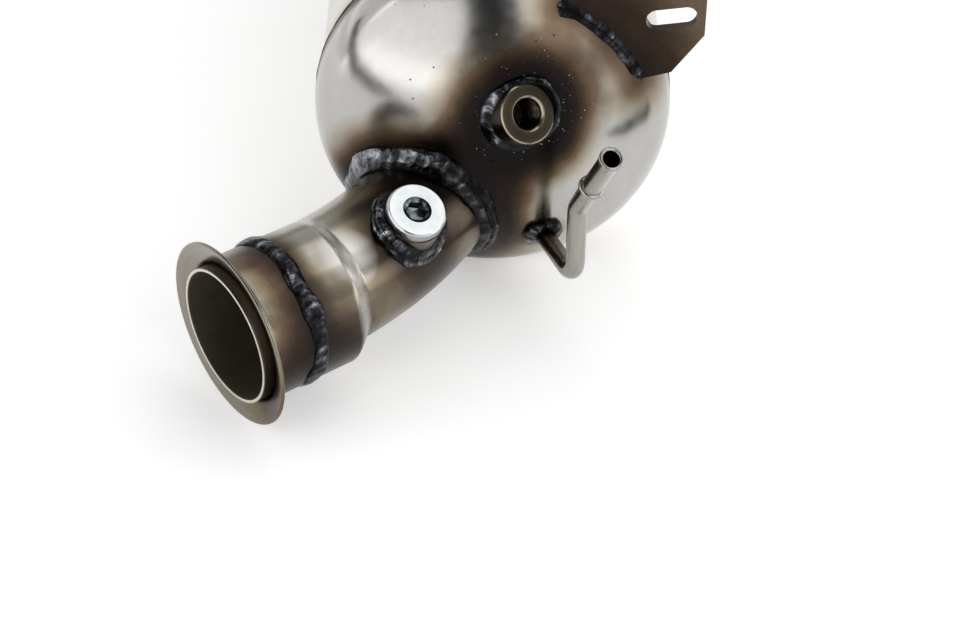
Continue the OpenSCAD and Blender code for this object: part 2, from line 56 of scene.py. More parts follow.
elbow = dict(entry=(-32.0, -36.0, -33.8), bend=184.0, turnIn=28.0, turnOut=47.0, radius=27.25,
             endTurn=52.5, endLength=22.5, collar=24.0, endRadius=30.3, shiftIn=2.2, shiftUp=1.8)
bendCentre = place(elbow["entry"][0] - elbow["bend"] * cos(radians(elbow["turnIn"])),
                   elbow["entry"][1] + elbow["bend"] * sin(radians(elbow["turnIn"])),
                   elbow["entry"][2])
endAlong = Vector((sin(radians(elbow["endTurn"])), cos(radians(elbow["endTurn"])), 0))
endSide = Vector((-endAlong.y, endAlong.x, 0))
shoulder = (bendCentre + elbow["bend"] * mm * Vector((cos(radians(elbow["turnOut"])),
                                                      -sin(radians(elbow["turnOut"])), 0))
            - elbow["shiftIn"] * mm * endSide - elbow["shiftUp"] * mm * up)
collarWeld = shoulder - elbow["endLength"] * mm * endAlong
lipFace = collarWeld - elbow["collar"] * mm * endAlong

plugBoss = dict(turn=36.0, off=7.0, lean=27.0, slant=8.0, radius=12.3)
bossFoot = bendCentre + (elbow["bend"] + plugBoss["off"]) * mm * Vector(
    (cos(radians(plugBoss["turn"])), -sin(radians(plugBoss["turn"])), 0))
bossAlong = (Matrix.Rotation(radians(-plugBoss["turn"]), 3, "Z")
             @ Matrix.Rotation(radians(plugBoss["lean"]), 3, "Y")
             @ Matrix.Rotation(radians(plugBoss["slant"]), 3, "X") @ up)

tempBoss = dict(face=(14.1, -47.0, 23.8), swing=31.0, tilt=31.0, radius=12.3)
tempFace = place(*tempBoss["face"])
tempAlong = Vector((cos(radians(tempBoss["tilt"])) * sin(radians(tempBoss["swing"])),
                    -cos(radians(tempBoss["tilt"])) * cos(radians(tempBoss["swing"])),
                    sin(radians(tempBoss["tilt"]))))

pressurePipe = dict(foot=(18.5, -26.0, -45.0), swing=21.5, radius=4.0)
pipeFoot = place(*pressurePipe["foot"])
pipeAlong = Vector((sin(radians(pressurePipe["swing"])), -cos(radians(pressurePipe["swing"])), 0))

bracketWeld = dict(radius=65.0, front=-23.5, start=23.0, sweep=43.0, over=1.0)
bracketArc = dict(shape="arc", radius=bracketWeld["radius"] * mm,
                  middle=radians(bracketWeld["start"] + bracketWeld["sweep"] / 2),
                  half=radians(bracketWeld["sweep"] / 2))

can = dict(front=0.0, rear=217.0, neck=287.0, seamRadius=73.3, neckRadius=29.4)
canAlong = Vector((0, 1, 0))


# Materials

def ink(code):
    parts = [int(code[i:i + 2], 16) / 255 for i in (1, 3, 5)]
    return [p / 12.92 if p <= 0.04045 else ((p + 0.055) / 1.055) ** 2.4 for p in parts] + [1.0]


# Inputs of a node: a node or a socket is linked, a node by its first output in use, and a constant is set.
def wire(tree, node, wires):
    for key, value in wires.items():
        if isinstance(value, bpy.types.Node):
            value = next(socket for socket in value.outputs if socket.enabled)
        if isinstance(value, bpy.types.NodeSocket):
            tree.links.new(value, node.inputs[key])
        else:
            node.inputs[key].default_value = value


def addNode(tree, kind, wires=None, **settings):
    node = tree.nodes.new("ShaderNode" + kind)
    for key, value in settings.items():
        setattr(node, key, value)
    wire(tree, node, wires or {})
    return node


def newMaterial(name):
    material = bpy.data.materials.new(name)
    material.use_nodes = True
    tree = material.node_tree
    shader = tree.nodes["Principled BSDF"]
    where = addNode(tree, "TexCoord").outputs["Object"]
    return material, tree, shader, where


def fillRamp(ramp, stops):
    stones = ramp.color_ramp.elements
    while len(stones) < len(stops):
        stones.new(0.5)
    for stone, (spot, code) in zip(stones, stops):
        stone.position = spot
        stone.color = ink(code)


noiseSpan = {"From Min": 0.3, "From Max": 0.7}  # where most values of a noise lie


# Distance from an axis, and height along it.
def axisMeasures(tree, where, point, along):
    arm = addNode(tree, "VectorMath", {0: where, 1: point}, operation="SUBTRACT")
    side = addNode(tree, "VectorMath", {0: arm, 1: along}, operation="CROSS_PRODUCT")
    far = addNode(tree, "VectorMath", {0: side}, operation="LENGTH")
    lift = addNode(tree, "VectorMath", {0: arm, 1: along}, operation="DOT_PRODUCT")
    return far, lift


# Heat round welds: each weld gives its heat up to its edge, falling to 0 over its reach.
def heatField(tree, where, welds, wander):
    cold = None
    for weld in welds:
        shape = weld["shape"]
        arm = addNode(tree, "VectorMath", {0: where, 1: weld.get("point", (0, 0, 0))}, operation="SUBTRACT")
        if shape == "plane":  # round a ring weld
            lift = addNode(tree, "VectorMath", {0: arm, 1: weld["along"]}, operation="DOT_PRODUCT")
            gap = addNode(tree, "Math", {0: lift}, operation="ABSOLUTE")
        elif shape == "arc":  # along the bracket weld on the dish
            parts = addNode(tree, "SeparateXYZ", {0: arm})
            turn = addNode(tree, "Math", {0: parts.outputs["Z"], 1: parts.outputs["X"]}, operation="ARCTAN2")
            flat = addNode(tree, "CombineXYZ", {0: parts.outputs["X"], 2: parts.outputs["Z"]})
            ring = addNode(tree, "VectorMath", {0: flat}, operation="LENGTH")
            off = addNode(tree, "Math", {0: ring, 1: weld["radius"]}, operation="SUBTRACT")
            swing = addNode(tree, "Math", {0: turn, 1: weld["middle"]}, operation="SUBTRACT")
            wide = addNode(tree, "Math", {0: swing}, operation="ABSOLUTE")
            past = addNode(tree, "Math", {0: wide, 1: weld["half"]}, operation="SUBTRACT")
            over = addNode(tree, "Math", {0: past, 1: 0.0}, operation="MAXIMUM")
            run = addNode(tree, "Math", {0: over, 1: weld["radius"]}, operation="MULTIPLY")
            both = addNode(tree, "CombineXYZ", {0: off, 1: run})
            gap = addNode(tree, "VectorMath", {0: both}, operation="LENGTH")
        else:
            if shape == "axis":  # round a boss or pipe
                arm = addNode(tree, "VectorMath", {0: arm, 1: weld["along"]}, operation="CROSS_PRODUCT")
            elif shape == "bend":  # round the bent tube
                flat = addNode(tree, "VectorMath", {0: arm, 1: (1, 1, 0)}, operation="MULTIPLY")
                ring = addNode(tree, "VectorMath", {0: flat}, operation="LENGTH")
                off = addNode(tree, "Math", {0: ring, 1: weld["bend"]}, operation="SUBTRACT")
                rise = addNode(tree, "SeparateXYZ", {0: arm})
                arm = addNode(tree, "CombineXYZ", {0: off, 2: rise.outputs["Z"]})
            # a ball takes the arm as it is
            far = addNode(tree, "VectorMath", {0: arm}, operation="LENGTH")
            gap = addNode(tree, "Math", {0: far, 1: weld["radius"]}, operation="SUBTRACT")
        loose = addNode(tree, "Math", {0: wander, 1: weld["reach"] * weld.get("wander", 0.35), 2: gap},
                        operation="MULTIPLY_ADD")
        chill = addNode(tree, "MapRange", {"Value": loose, "From Min": weld.get("edge", 0.0),
                                           "From Max": weld["reach"], "To Min": 1 - weld["heat"],
                                           "To Max": 1.0})
        if cold is None:
            cold = chill
        else:
            cold = addNode(tree, "Math", {0: cold, 1: chill}, operation="MULTIPLY")
    return addNode(tree, "Math", {0: 1.0, 1: cold}, operation="SUBTRACT")


# Satin stainless with heat tint: silver, then straw, brown and nearly black at the welds.
def tintedStainless(name, welds, stops, rough, brush, streak, rubsAndHighlights=()):
    material, tree, shader, where = newMaterial(name)
    drift = addNode(tree, "TexNoise", {"Vector": where, "Scale": 38.0, "Detail": 3.0, "Roughness": 0.55})
    wander = addNode(tree, "Math", {0: drift, 1: 0.5}, operation="SUBTRACT")
    warmth = heatField(tree, where, welds, wander)
    ramp = addNode(tree, "ValToRGB", {"Fac": warmth})
    fillRamp(ramp, stops)
    # smears of 8 mm and less
    smear = addNode(tree, "TexNoise", {"Vector": where, "Scale": 120.0, "Detail": 6.0, "Roughness": 0.7})
    veil = addNode(tree, "MapRange", {"Value": smear, "From Min": 0.3, "From Max": 0.75,
                                      "To Min": 0.95, "To Max": 1.03})
    # lines of the press or the tube mill, 3 mm apart on the tube and 1 mm on the collar, coarse enough to show
    if brush == "tube":
        arm = addNode(tree, "VectorMath", {0: where, 1: bendCentre}, operation="SUBTRACT")
        parts = addNode(tree, "SeparateXYZ", {0: arm})
        turn = addNode(tree, "Math", {0: parts.outputs["Y"], 1: parts.outputs["X"]}, operation="ARCTAN2")
        ring = addNode(tree, "VectorMath", {0: arm, 1: (1, 1, 0)}, operation="MULTIPLY")
        far = addNode(tree, "VectorMath", {0: ring}, operation="LENGTH")
        level = addNode(tree, "CombineXYZ", {0: far, 1: turn, 2: parts.outputs["Z"]})
        stretch = addNode(tree, "VectorMath", {0: level, 1: (330, 6, 330)}, operation="MULTIPLY")
    elif brush == "collar":
        far, lift = axisMeasures(tree, where, lipFace, endAlong)
        level = addNode(tree, "CombineXYZ", {0: lift, 1: far})
        stretch = addNode(tree, "VectorMath", {0: level, 1: (900, 900, 900)}, operation="MULTIPLY")
    else:
        stretch = addNode(tree, "VectorMath", {0: where, 1: brush}, operation="MULTIPLY")
    lines = addNode(tree, "TexNoise", {"Vector": stretch, "Scale": 1.0, "Detail": 4.0})
    drawn = addNode(tree, "MapRange", {"Value": lines, **noiseSpan, "To Min": 1 - streak, "To Max": 1 + streak})
    shade = addNode(tree, "Math", {0: veil, 1: drawn}, operation="MULTIPLY")
    tone = addNode(tree, "VectorMath", {0: ramp, 1: shade}, operation="MULTIPLY")
    # specks of scale, up to 0.6 mm
    dots = addNode(tree, "TexVoronoi", {"Vector": where, "Scale": 330.0, "Randomness": 1.0})
    near = addNode(tree, "MapRange", {"Value": dots, "From Min": 0.05, "From Max": 0.11,
                                      "To Min": 1.0, "To Max": 0.0})
    seldom = addNode(tree, "SeparateColor", {"Color": dots.outputs["Color"]})
    pick = addNode(tree, "Math", {0: seldom.outputs["Red"], 1: 0.90}, operation="GREATER_THAN")
    speck = addNode(tree, "Math", {0: near, 1: pick}, operation="MULTIPLY")
    spotted = addNode(tree, "Mix", {"Factor": speck, "A": tone, "B": ink("#2a2622")}, data_type="RGBA")
    dull = addNode(tree, "MapRange", {"Value": warmth, "To Min": rough[0], "To Max": rough[1]})
    uneven = addNode(tree, "MapRange", {"Value": lines, **noiseSpan, "To Min": -0.015, "To Max": 0.02})
    satin = addNode(tree, "Math", {0: dull, 1: uneven}, operation="ADD")
    tone, metal = spotted, 1.0
    for paleMark in rubsAndHighlights:  # rubbed bare at the edge of a shoulder, and pale painted highlights where a lamp's reflection falls
        arm = addNode(tree, "VectorMath", {0: where, 1: paleMark["point"]}, operation="SUBTRACT")
        if "along" in paleMark:
            lift = addNode(tree, "VectorMath", {0: arm, 1: paleMark["along"]}, operation="DOT_PRODUCT")
            gap = addNode(tree, "Math", {0: lift}, operation="ABSOLUTE")
        else:
            gap = addNode(tree, "VectorMath", {0: arm}, operation="LENGTH")
        loose = addNode(tree, "Math", {0: wander, 1: paleMark["wander"], 2: gap}, operation="MULTIPLY_ADD")
        share = addNode(tree, "MapRange", {"Value": loose, "From Min": paleMark["half"] * paleMark["core"],
                                           "From Max": paleMark["half"], "To Min": paleMark["most"], "To Max": 0.0})
        tone = addNode(tree, "Mix", {"Factor": share, "A": tone, "B": ink(paleMark["tone"])}, data_type="RGBA")
        # less metallic where pale: worn metal, and a painted sheen that takes the diffuse light
        wornAndSheen = addNode(tree, "MapRange", {"Value": share, "To Min": 1.0, "To Max": 0.45})
        metal = addNode(tree, "Math", {0: metal, 1: wornAndSheen}, operation="MINIMUM")
    bump = addNode(tree, "Bump", {"Height": lines, "Strength": 0.004, "Distance": 0.0002})
    wire(tree, shader, {"Base Color": tone, "Metallic": metal, "Roughness": satin, "Normal": bump})
    return material


# Weld metal: black oxide in the hollows, glossy grey flanks, and pale silver on the crests of the ridges, painted
# there as glints that stand in for the lamps' highlights.
def weldMetal(name, stops, cleanAndLit=None):
    material, tree, shader, where = newMaterial(name)
    crest = addNode(tree, "Attribute", attribute_name="crest").outputs["Fac"]
    patch = addNode(tree, "TexNoise", {"Vector": where, "Scale": 240.0, "Detail": 3.0, "Roughness": 0.5})
    height = addNode(tree, "Math", {0: patch, 1: 0.7, 2: crest}, operation="MULTIPLY_ADD")
    # paler towards one side: partly cleaner metal, partly a painted highlight
    if cleanAndLit:
        arm = addNode(tree, "VectorMath", {0: where, 1: cleanAndLit["point"]}, operation="SUBTRACT")
        run = addNode(tree, "VectorMath", {0: arm, 1: cleanAndLit["along"]}, operation="DOT_PRODUCT")
        share = addNode(tree, "MapRange", {"Value": run, "From Min": cleanAndLit["start"],
                                           "From Max": cleanAndLit["end"], "To Max": cleanAndLit["gain"]})
        height = addNode(tree, "Math", {0: height, 1: share}, operation="ADD")
    level = addNode(tree, "MapRange", {"Value": height, "From Min": 0.35, "From Max": 1.35})
    ramp = addNode(tree, "ValToRGB", {"Fac": level})
    fillRamp(ramp, stops)
    gloss = addNode(tree, "MapRange", {"Value": level, "To Min": 0.32, "To Max": 0.20})
    grit = addNode(tree, "TexNoise", {"Vector": where, "Scale": 760.0, "Detail": 2.0})  # 1.3 mm
    bump = addNode(tree, "Bump", {"Height": grit, "Strength": 0.35, "Distance": 0.0007})
    wire(tree, shader, {"Base Color": ramp, "Metallic": 1.0, "Roughness": gloss, "Normal": bump})
    return material


# Plain metal: bright, with a faint cloud and a fine grain.
def plainMetal(name, stops, rough, grainScale, strength):
    material, tree, shader, where = newMaterial(name)
    cloud = addNode(tree, "TexNoise", {"Vector": where, "Scale": 90.0, "Detail": 5.0, "Roughness": 0.6})
    ramp = addNode(tree, "ValToRGB", {"Fac": cloud})
    fillRamp(ramp, stops)
    lines = addNode(tree, "TexNoise", {"Vector": where, "Scale": grainScale, "Detail": 3.0})
    vary = addNode(tree, "MapRange", {"Value": lines, **noiseSpan, "To Min": rough[0], "To Max": rough[1]})
    bump = addNode(tree, "Bump", {"Height": lines, "Strength": strength, "Distance": 0.0002})
    wire(tree, shader, {"Base Color": ramp, "Metallic": 1.0, "Roughness": vary, "Normal": bump})
    return material


# Turned metal: fine rings round an axis, with the tone set by the distance from the axis or along it.
def turnedMetal(name, point, along, measure, stops, rough, pitch, strength, soot=0.0):
    material, tree, shader, where = newMaterial(name)
    far, lift = axisMeasures(tree, where, point, along)
    share = addNode(tree, "MapRange", {"Value": far if measure[0] == "far" else lift,
                                       "From Min": measure[1] * mm, "From Max": measure[2] * mm})
    ramp = addNode(tree, "ValToRGB", {"Fac": share})
    fillRamp(ramp, stops)
    cloud = addNode(tree, "TexNoise", {"Vector": where, "Scale": 160.0, "Detail": 5.0, "Roughness": 0.6})
    veil = addNode(tree, "MapRange", {"Value": cloud, **noiseSpan, "To Min": 0.90, "To Max": 1.05})
    tone = addNode(tree, "VectorMath", {0: ramp, 1: veil}, operation="MULTIPLY")
    ring = addNode(tree, "CombineXYZ", {0: far, 1: lift})
    lines = addNode(tree, "TexNoise", {"Vector": ring, "Scale": 1 / (pitch * mm), "Detail": 2.0})
    vary = addNode(tree, "MapRange", {"Value": lines, **noiseSpan, "To Min": rough[0], "To Max": rough[1]})
    # the inside of a pipe is dulled by soot
    inner = addNode(tree, "MapRange", {"Value": share, "From Min": 0.10, "From Max": 0.20,
                                       "To Min": soot, "To Max": 0.0})
    dull = addNode(tree, "Math", {0: vary, 1: inner}, operation="ADD")
    bump = addNode(tree, "Bump", {"Height": lines, "Strength": strength, "Distance": 0.0001})
    wire(tree, shader, {"Base Color": tone, "Metallic": 1.0, "Roughness": dull, "Normal": bump})
    return material


# Fired ceramic or fibre mat: matte, with a cell or fibre pattern.
def mattePorous(name, light, dark, scale):
    material, tree, shader, where = newMaterial(name)
    cells = addNode(tree, "TexVoronoi", {"Vector": where, "Scale": scale})
    ramp = addNode(tree, "ValToRGB", {"Fac": cells})
    fillRamp(ramp, [(0.2, dark), (0.7, light)])
    wire(tree, shader, {"Base Color": ramp, "Roughness": 0.9})
    return material


# Where each weld's heat shows, and painted light and shade given the same way: reach and edge in metres from the
# weld, heat 1 for black
# painted dark reflection: a dark patch low on the expanded end and the collar, as if they mirrored a dark object on
# the floor
paintedDarkReflectionSpot = collarWeld - endSide * 24 * mm - up * 12 * mm
dishWelds = [
    dict(shape="bend", point=bendCentre, bend=elbow["bend"] * mm, radius=elbow["radius"] * mm,
         reach=0.025, edge=0.008, heat=0.82),
    dict(shape="axis", point=tempFace - up * 3 * mm, along=tempAlong, radius=tempBoss["radius"] * mm,
         reach=0.027, edge=0.006, heat=1.0),
    dict(shape="axis", point=pipeFoot, along=pipeAlong, radius=pressurePipe["radius"] * mm,
         reach=0.008, edge=0.001, heat=0.60),
    dict(bracketArc, reach=0.021, edge=0.002, heat=0.62),
    # heat tint of the front seam, also a painted dark line along the rim standing in for a reflected shadow
    dict(shape="plane", point=place(0, can["front"], 0), along=canAlong, reach=0.008, edge=0.002, heat=0.88,
         wander=0.1),
]
elbowWelds = [
    dict(shape="ball", point=crownCentre, radius=dish["crown"] * mm, reach=0.020, edge=0.003, heat=0.66),
    dict(shape="axis", point=bossFoot, along=bossAlong, radius=plugBoss["radius"] * mm,
         reach=0.024, edge=0.005, heat=0.86),
    dict(shape="plane", point=collarWeld, along=endAlong, reach=0.013, edge=0.002, heat=0.85, wander=0.8),
    # painted dark reflection, not heat tint
    dict(shape="ball", point=paintedDarkReflectionSpot, radius=0.018, reach=0.029, heat=0.92),
]
tintStops = [(0.0, "#b7b5b2"), (0.14, "#aea89e"), (0.32, "#938a7d"), (0.48, "#6a5a4a"),
             (0.64, "#45382c"), (0.80, "#29221f"), (1.0, "#1d1a1a")]
elbowStops = [(0.0, "#a5a198"), (0.22, "#938c7f"), (0.42, "#746b5a"), (0.60, "#564b40"),
              (0.80, "#3c352e"), (1.0, "#2b2623")]
flangeStops = [(0.0, "#8c867b"), (0.30, "#7b705b"), (0.55, "#5c4b40"), (0.8, "#3c322b"), (1.0, "#292320")]
shellStops = [(0.0, "#d0cdc8"), (0.3, "#c4b9a4"), (0.6, "#968470"), (0.85, "#5d4e43"), (1.0, "#3a332f")]

# Pale marks on the elbow's shoulder: a band along the shoulder that is partly rubbed bare metal and partly a painted
# highlight, and a pale blotch that is a painted highlight
shoulderRubAndPaintedHighlights = [
    dict(point=shoulder + endAlong * 0.6 * mm, along=endAlong, half=0.0044, core=0.30, wander=0.004, most=0.60,
         tone="#c6c4bd"),
    dict(point=shoulder + endAlong * 2.5 * mm - endSide * 13 * mm + up * 25 * mm, half=0.014, core=0.1,
         wander=0.008, most=0.90, tone="#efede9"),
]

dishSteel = tintedStainless("pressed_stainless_heat_tinted", dishWelds, tintStops, (0.18, 0.30),
                            (260, 260, 260), 0.02)
elbowSteel = tintedStainless("bent_tube_stainless_heat_tinted", elbowWelds, elbowStops, (0.24, 0.30),
                             "tube", 0.08, shoulderRubAndPaintedHighlights)
flangeSteel = tintedStainless("pressed_flange_stainless", [
    # heat tint of the collar weld, spread over the whole collar and deepened, partly as painted shade for the dark
    # reflection on the collar
    dict(shape="plane", point=collarWeld, along=endAlong, reach=0.021, edge=0.003, heat=0.95, wander=1.1),
    # painted dark reflection, not heat tint
    dict(shape="ball", point=paintedDarkReflectionSpot, radius=0.016, reach=0.024, heat=0.90)],
    flangeStops, (0.26, 0.34), "collar", 0.10)
shellSteel = tintedStainless("rolled_stainless_sheet", [
    dict(shape="plane", point=place(0, can["front"], 0), along=canAlong, reach=0.016, heat=0.9),
    dict(shape="plane", point=place(0, can["rear"], 0), along=canAlong, reach=0.014, heat=0.9),
    dict(shape="plane", point=place(0, can["neck"], 0), along=canAlong, reach=0.014, heat=0.9)],
    shellStops, (0.26, 0.34), (60, 900, 60), 0.05)
bracketSteel = tintedStainless("laser_cut_plate_heat_tinted", [
    dict(bracketArc, reach=0.032, heat=1.0, wander=0.8)],
    [(0.0, "#5f5445"), (0.3, "#4b4034"), (0.6, "#352b24"), (1.0, "#221d1d")], (0.30, 0.38), (500, 60, 500), 0.10)
# the palest stops are painted glints on the ridge crests
weldStops = [(0.0, "#131314"), (0.34, "#242426"), (0.58, "#434448"), (0.78, "#7c7d81"), (0.95, "#c4c5c8")]
# Paler weld stops and a side to brighten: partly cleaner metal, partly a painted highlight on the side that faces
# the left lamp
cleanAndLitStops = [(0.0, "#151516"), (0.34, "#2a2a2c"), (0.58, "#4b4c50"), (0.78, "#6d6e73"), (0.95, "#94959a")]
cleanAndLitAlong = Vector((-0.85, 0, 0.52))  # towards the upper left
weldSteel = weldMetal("weld_metal_oxidised", weldStops)
elbowWeldSteel = weldMetal("weld_metal_partly_clean_painted_highlight", cleanAndLitStops,
                           dict(point=place(-40, -40, 0), along=cleanAndLitAlong, start=-0.020, end=0.008, gain=0.55))
plugWeldSteel = weldMetal("weld_metal_bright_flecks_painted_highlight", weldStops,
                          dict(point=bossFoot, along=Vector((-1, 0, 0)), start=-0.030, end=0.020, gain=0.30))
tempWeldSteel = weldMetal("weld_metal_clean_flank_painted_highlight", cleanAndLitStops,
                          dict(point=tempFace, along=cleanAndLitAlong, start=0.002, end=0.016, gain=0.40))
# Liner: the rounded mouth painted pale as a painted highlight on its edge, the outer wall painted dark as painted
# shade under the lip
linerSteel = turnedMetal("drawn_liner_stainless", lipFace, endAlong, ("far", 27.0, 28.9),
                         [(0.0, "#665e52"), (0.12, "#665e52"), (0.22, "#d6d1c8"), (0.72, "#d6d1c8"),
                          (0.86, "#5d554c"), (1.0, "#453e37")], (0.34, 0.44), 0.6, 0.1, 0.35)
# Sensor boss: dark brown, darkest at its foot: heat tint from the weld, and painted shade for the boss lying in the
# plug head's shadow
bossSteel = turnedMetal("turned_boss_steel_tinted_painted_shade", bossFoot, bossAlong, ("lift", 14.0, 30.0),
                        [(0.0, "#231d1a"), (0.5, "#4a3f36"), (0.86, "#6a5d50"), (1.0, "#8a8073")],
                        (0.24, 0.34), 0.3, 0.2)
# Temperature boss: the threaded bore painted near black as painted shade, and its two chamfers painted pale as
# painted highlights on a dark olive face
tempSteel = turnedMetal("turned_boss_steel_olive", tempFace, tempAlong, ("far", 5.8, 12.4),
                        [(0.0, "#1d1a17"), (0.08, "#3a342c"), (0.11, "#a39a88"), (0.205, "#a39a88"),
                         (0.235, "#3f392f"), (0.6, "#3a342b"), (0.86, "#433d32"), (0.90, "#a39b89"),
                         (0.95, "#a39b89"), (0.975, "#3a342c")],
                        (0.18, 0.30), 0.22, 0.35)
# Plug: zinc, with painted shade in its tones: the socket darker towards its walls, a dark ring at the socket mouth,
# a thin dark line round the edge of the face, and the head's side darker as a painted dark reflection
zincPlug = turnedMetal("bright_zinc_plating", bossFoot, bossAlong, ("far", 0.0, 12.4),
                       [(0.0, "#7d8486"), (0.34, "#6a7174"), (0.43, "#4a5053"), (0.468, "#2c3133"),
                        (0.485, "#ccd0d2"), (0.91, "#d2d6d7"), (0.925, "#9ba0a2"), (0.94, "#d2d6d7"),
                        (1.0, "#95999b")], (0.16, 0.24), 0.5, 0.05)
washerMetal = plainMetal("bright_washer_steel", [(0.3, "#c4c0b8"), (0.7, "#d6d2ca")], (0.24, 0.34), 700.0, 0.1)
pipeSteel = tintedStainless("drawn_tube_stainless", [
    dict(shape="ball", point=crownCentre, radius=dish["crown"] * mm, reach=0.020, edge=0.004, heat=0.9)],
    [(0.0, "#9f9c96"), (0.3, "#8a8276"), (0.6, "#5d5246"), (1.0, "#2f2925")], (0.20, 0.28), (900, 900, 60), 0.12)
catalystCeramic = mattePorous("washcoated_cordierite", "#9a8a6c", "#5d5240", 900.0)
filterCeramic = mattePorous("silicon_carbide", "#4a4a4d", "#262628", 900.0)
matFibre = mattePorous("alumina_fibre_mat", "#e0dac8", "#c9c1ac", 600.0)

finishes = dict(
    inlet_flange=flangeSteel, inlet_liner=linerSteel, inlet_elbow=elbowSteel, inlet_dish=dishSteel,
    sensor_boss=bossSteel, plug_washer=washerMetal, sensor_plug=zincPlug, temperature_boss=tempSteel,
    pressure_pipe=pipeSteel, bracket=bracketSteel, canister_shell=shellSteel,
    oxidation_catalyst=catalystCeramic, catalyst_mat=matFibre, filter_body=filterCeramic, filter_mat=matFibre,
    outlet_cone=shellSteel, outlet_pipe=shellSteel)
for name, node in nodes.items():
    node.data.materials.clear()
    node.data.materials.append(finishes.get(name, weldSteel))
print("materials set on the frame")


# Surfaces that the welds lie on

def dishGap(spot):
    x, out, z = spot.x / mm, -(spot.y - rimY) / mm, spot.z / mm
    r = hypot(x, z)
    core = dish["skirt"] - dish["back"]
    if atan2(r, out - core) < atan2(dish["rim"] - dish["knuckle"], dish["back"]):
        side, lift, size = r, out - core, dish["crown"]
    elif out > dish["skirt"]:
        side, lift, size = r - dish["rim"] + dish["knuckle"], out - dish["skirt"], dish["knuckle"]
    else:
        side, lift, size = r, 0.0, dish["rim"]
    far = hypot(side, lift)
    normal = Vector((side / far * x / r, -lift / far, side / far * z / r))
    return (far - size) * mm, normal


def tubeGap(spot):
    arm = spot - bendCentre
    ring = Vector((arm.x, arm.y, 0)).normalized() * elbow["bend"] * mm
    out = arm - ring
    return out.length - elbow["radius"] * mm, out.normalized()


def onto(spot, gapTo):
    for _ in range(3):
        gap, normal = gapTo(spot)
        spot = spot - gap * normal
    return spot


def meet(start, way, reach, gapTo):
    low, high = 0.0, reach
    for _ in range(40):
        middle = (low + high) / 2
        if gapTo(start + way * middle)[0] > 0:
            low = middle
        else:
            high = middle
    return start + way * low


def grain(spot, size, seed):
    return noise.noise(spot / (size * mm) + Vector((seed * 3.1, seed * 1.7, -seed)))


# Ring primitives: each point's place along the ring and round its section is turned into a point of the piece.
def sweepRing(name, steps, ribs, pointAt):
    bpy.ops.mesh.primitive_torus_add(major_segments=steps, minor_segments=ribs, major_radius=1.0, minor_radius=0.3)
    piece = bpy.context.object
    piece.name = name
    piece.data.name = name
    for vert in piece.data.vertices:
        x, y, z = vert.co
        step = round(atan2(y, x) / tau * steps) % steps
        rib = round(atan2(z, hypot(x, y) - 1.0) / tau * ribs) % ribs
        vert.co = pointAt(vert.index, step, rib)
    return closePiece(piece)


def closePiece(piece):
    bpy.ops.object.mode_set(mode="EDIT")
    bpy.ops.mesh.select_all(action="SELECT")
    bpy.ops.mesh.normals_make_consistent(inside=False)
    bpy.ops.object.mode_set(mode="OBJECT")
    bpy.ops.object.shade_smooth()
    return piece


# What all weld beads share, sizes in mm
beadForm = dict(crown=0.76, meanderSize=16, ridge=1.4, fineRidge=1.2, finePitch=0.4, swellSize=13, swellFine=5,
                swellFineShare=0.35, fade=0.6, lumpSize=5.5, lumpFine=1.6, lumpFineShare=0.30, flush=0.4,
                grooveRun=14, grooveAt=0.45, grooveWide=0.10, crestRidge=0.55, crestLump=0.6, crestBase=0.1,
                toeSink=0.35, rootSink=0.7)


# One point of a weld bead: a fillet section with ridges that lag behind at the toes, as the pool froze.
def beadPoint(joints, step, around, bead, glintCrests, index):
    spot, toeLow, toeHigh, root, lift = joints[step]
    form, seed = beadForm, bead["seed"]
    if "meander" in bead:
        spot = spot + toeLow.normalized() * bead["meander"] * mm * grain(spot, form["meanderSize"], seed + 11)
    if around < form["crown"]:
        t = around / form["crown"]
        lag = joints[(step - round(bead["lag"] * (2 * t - 1) ** 2)) % len(joints)][0]
        ridge = (1 - form["ridge"] * abs(grain(lag, bead["pitch"], seed))
                 - form["fineRidge"] * abs(grain(lag, bead["pitch"] * form["finePitch"], seed + 4)))
        swell = 1 + bead["uneven"] * (grain(spot, form["swellSize"], seed + 2)
                                      + form["swellFineShare"] * grain(spot, form["swellFine"], seed + 5))
        if lift is None:
            across = max(0.0, cos(t * pi / 2)) ** bead["full"]
            above = max(0.0, sin(t * pi / 2)) ** bead["full"]
            point = spot + (toeLow * across + toeHigh * above) * swell
            out = (toeLow.normalized() * across + toeHigh.normalized() * above).normalized()
        else:
            point = spot + (toeLow * cos(t * pi) + lift * sin(t * pi) ** bead["full"]) * swell
            out = lift.normalized()
        fade = max(0.0, sin(pi * t)) ** form["fade"]
        lump = (grain(point, form["lumpSize"], seed + 7)
                + form["lumpFineShare"] * grain(point, form["lumpFine"], seed + 9))
        passes = 1.0
        if "grooveFrom" in bead:
            passes = max(0.0, min(1.0, (spot.x / mm - bead["grooveFrom"]) / form["grooveRun"]))
        groove = -bead.get("groove", 0.0) * passes * exp(-((t - form["grooveAt"]) / form["grooveWide"]) ** 2)
        # the crest share also sets where the pale painted glints go in the weld metal
        crest = form["crestRidge"] * ridge + form["crestLump"] * (lump + groove) + form["crestBase"]
        glintCrests[index] = fade * max(0.0, min(1.0, crest))
        return point + out * fade * mm * (bead["ripple"] * (ridge - form["flush"]) + bead["lumps"] * lump + groove)
    t = (around - form["crown"]) / (1 - form["crown"])
    ends = (spot + toeHigh, spot + root, spot + toeLow)
    if lift is not None:
        ends = (spot - toeLow, spot + root, spot + toeLow)
    return ends[0].lerp(ends[1], 2 * t) if t < 0.5 else ends[1].lerp(ends[2], 2 * t - 1)


def keepGlintCrests(piece, glintCrests):
    field = piece.data.attributes.new("crest", "FLOAT", "POINT")
    for index, value in glintCrests.items():
        field.data[index].value = value


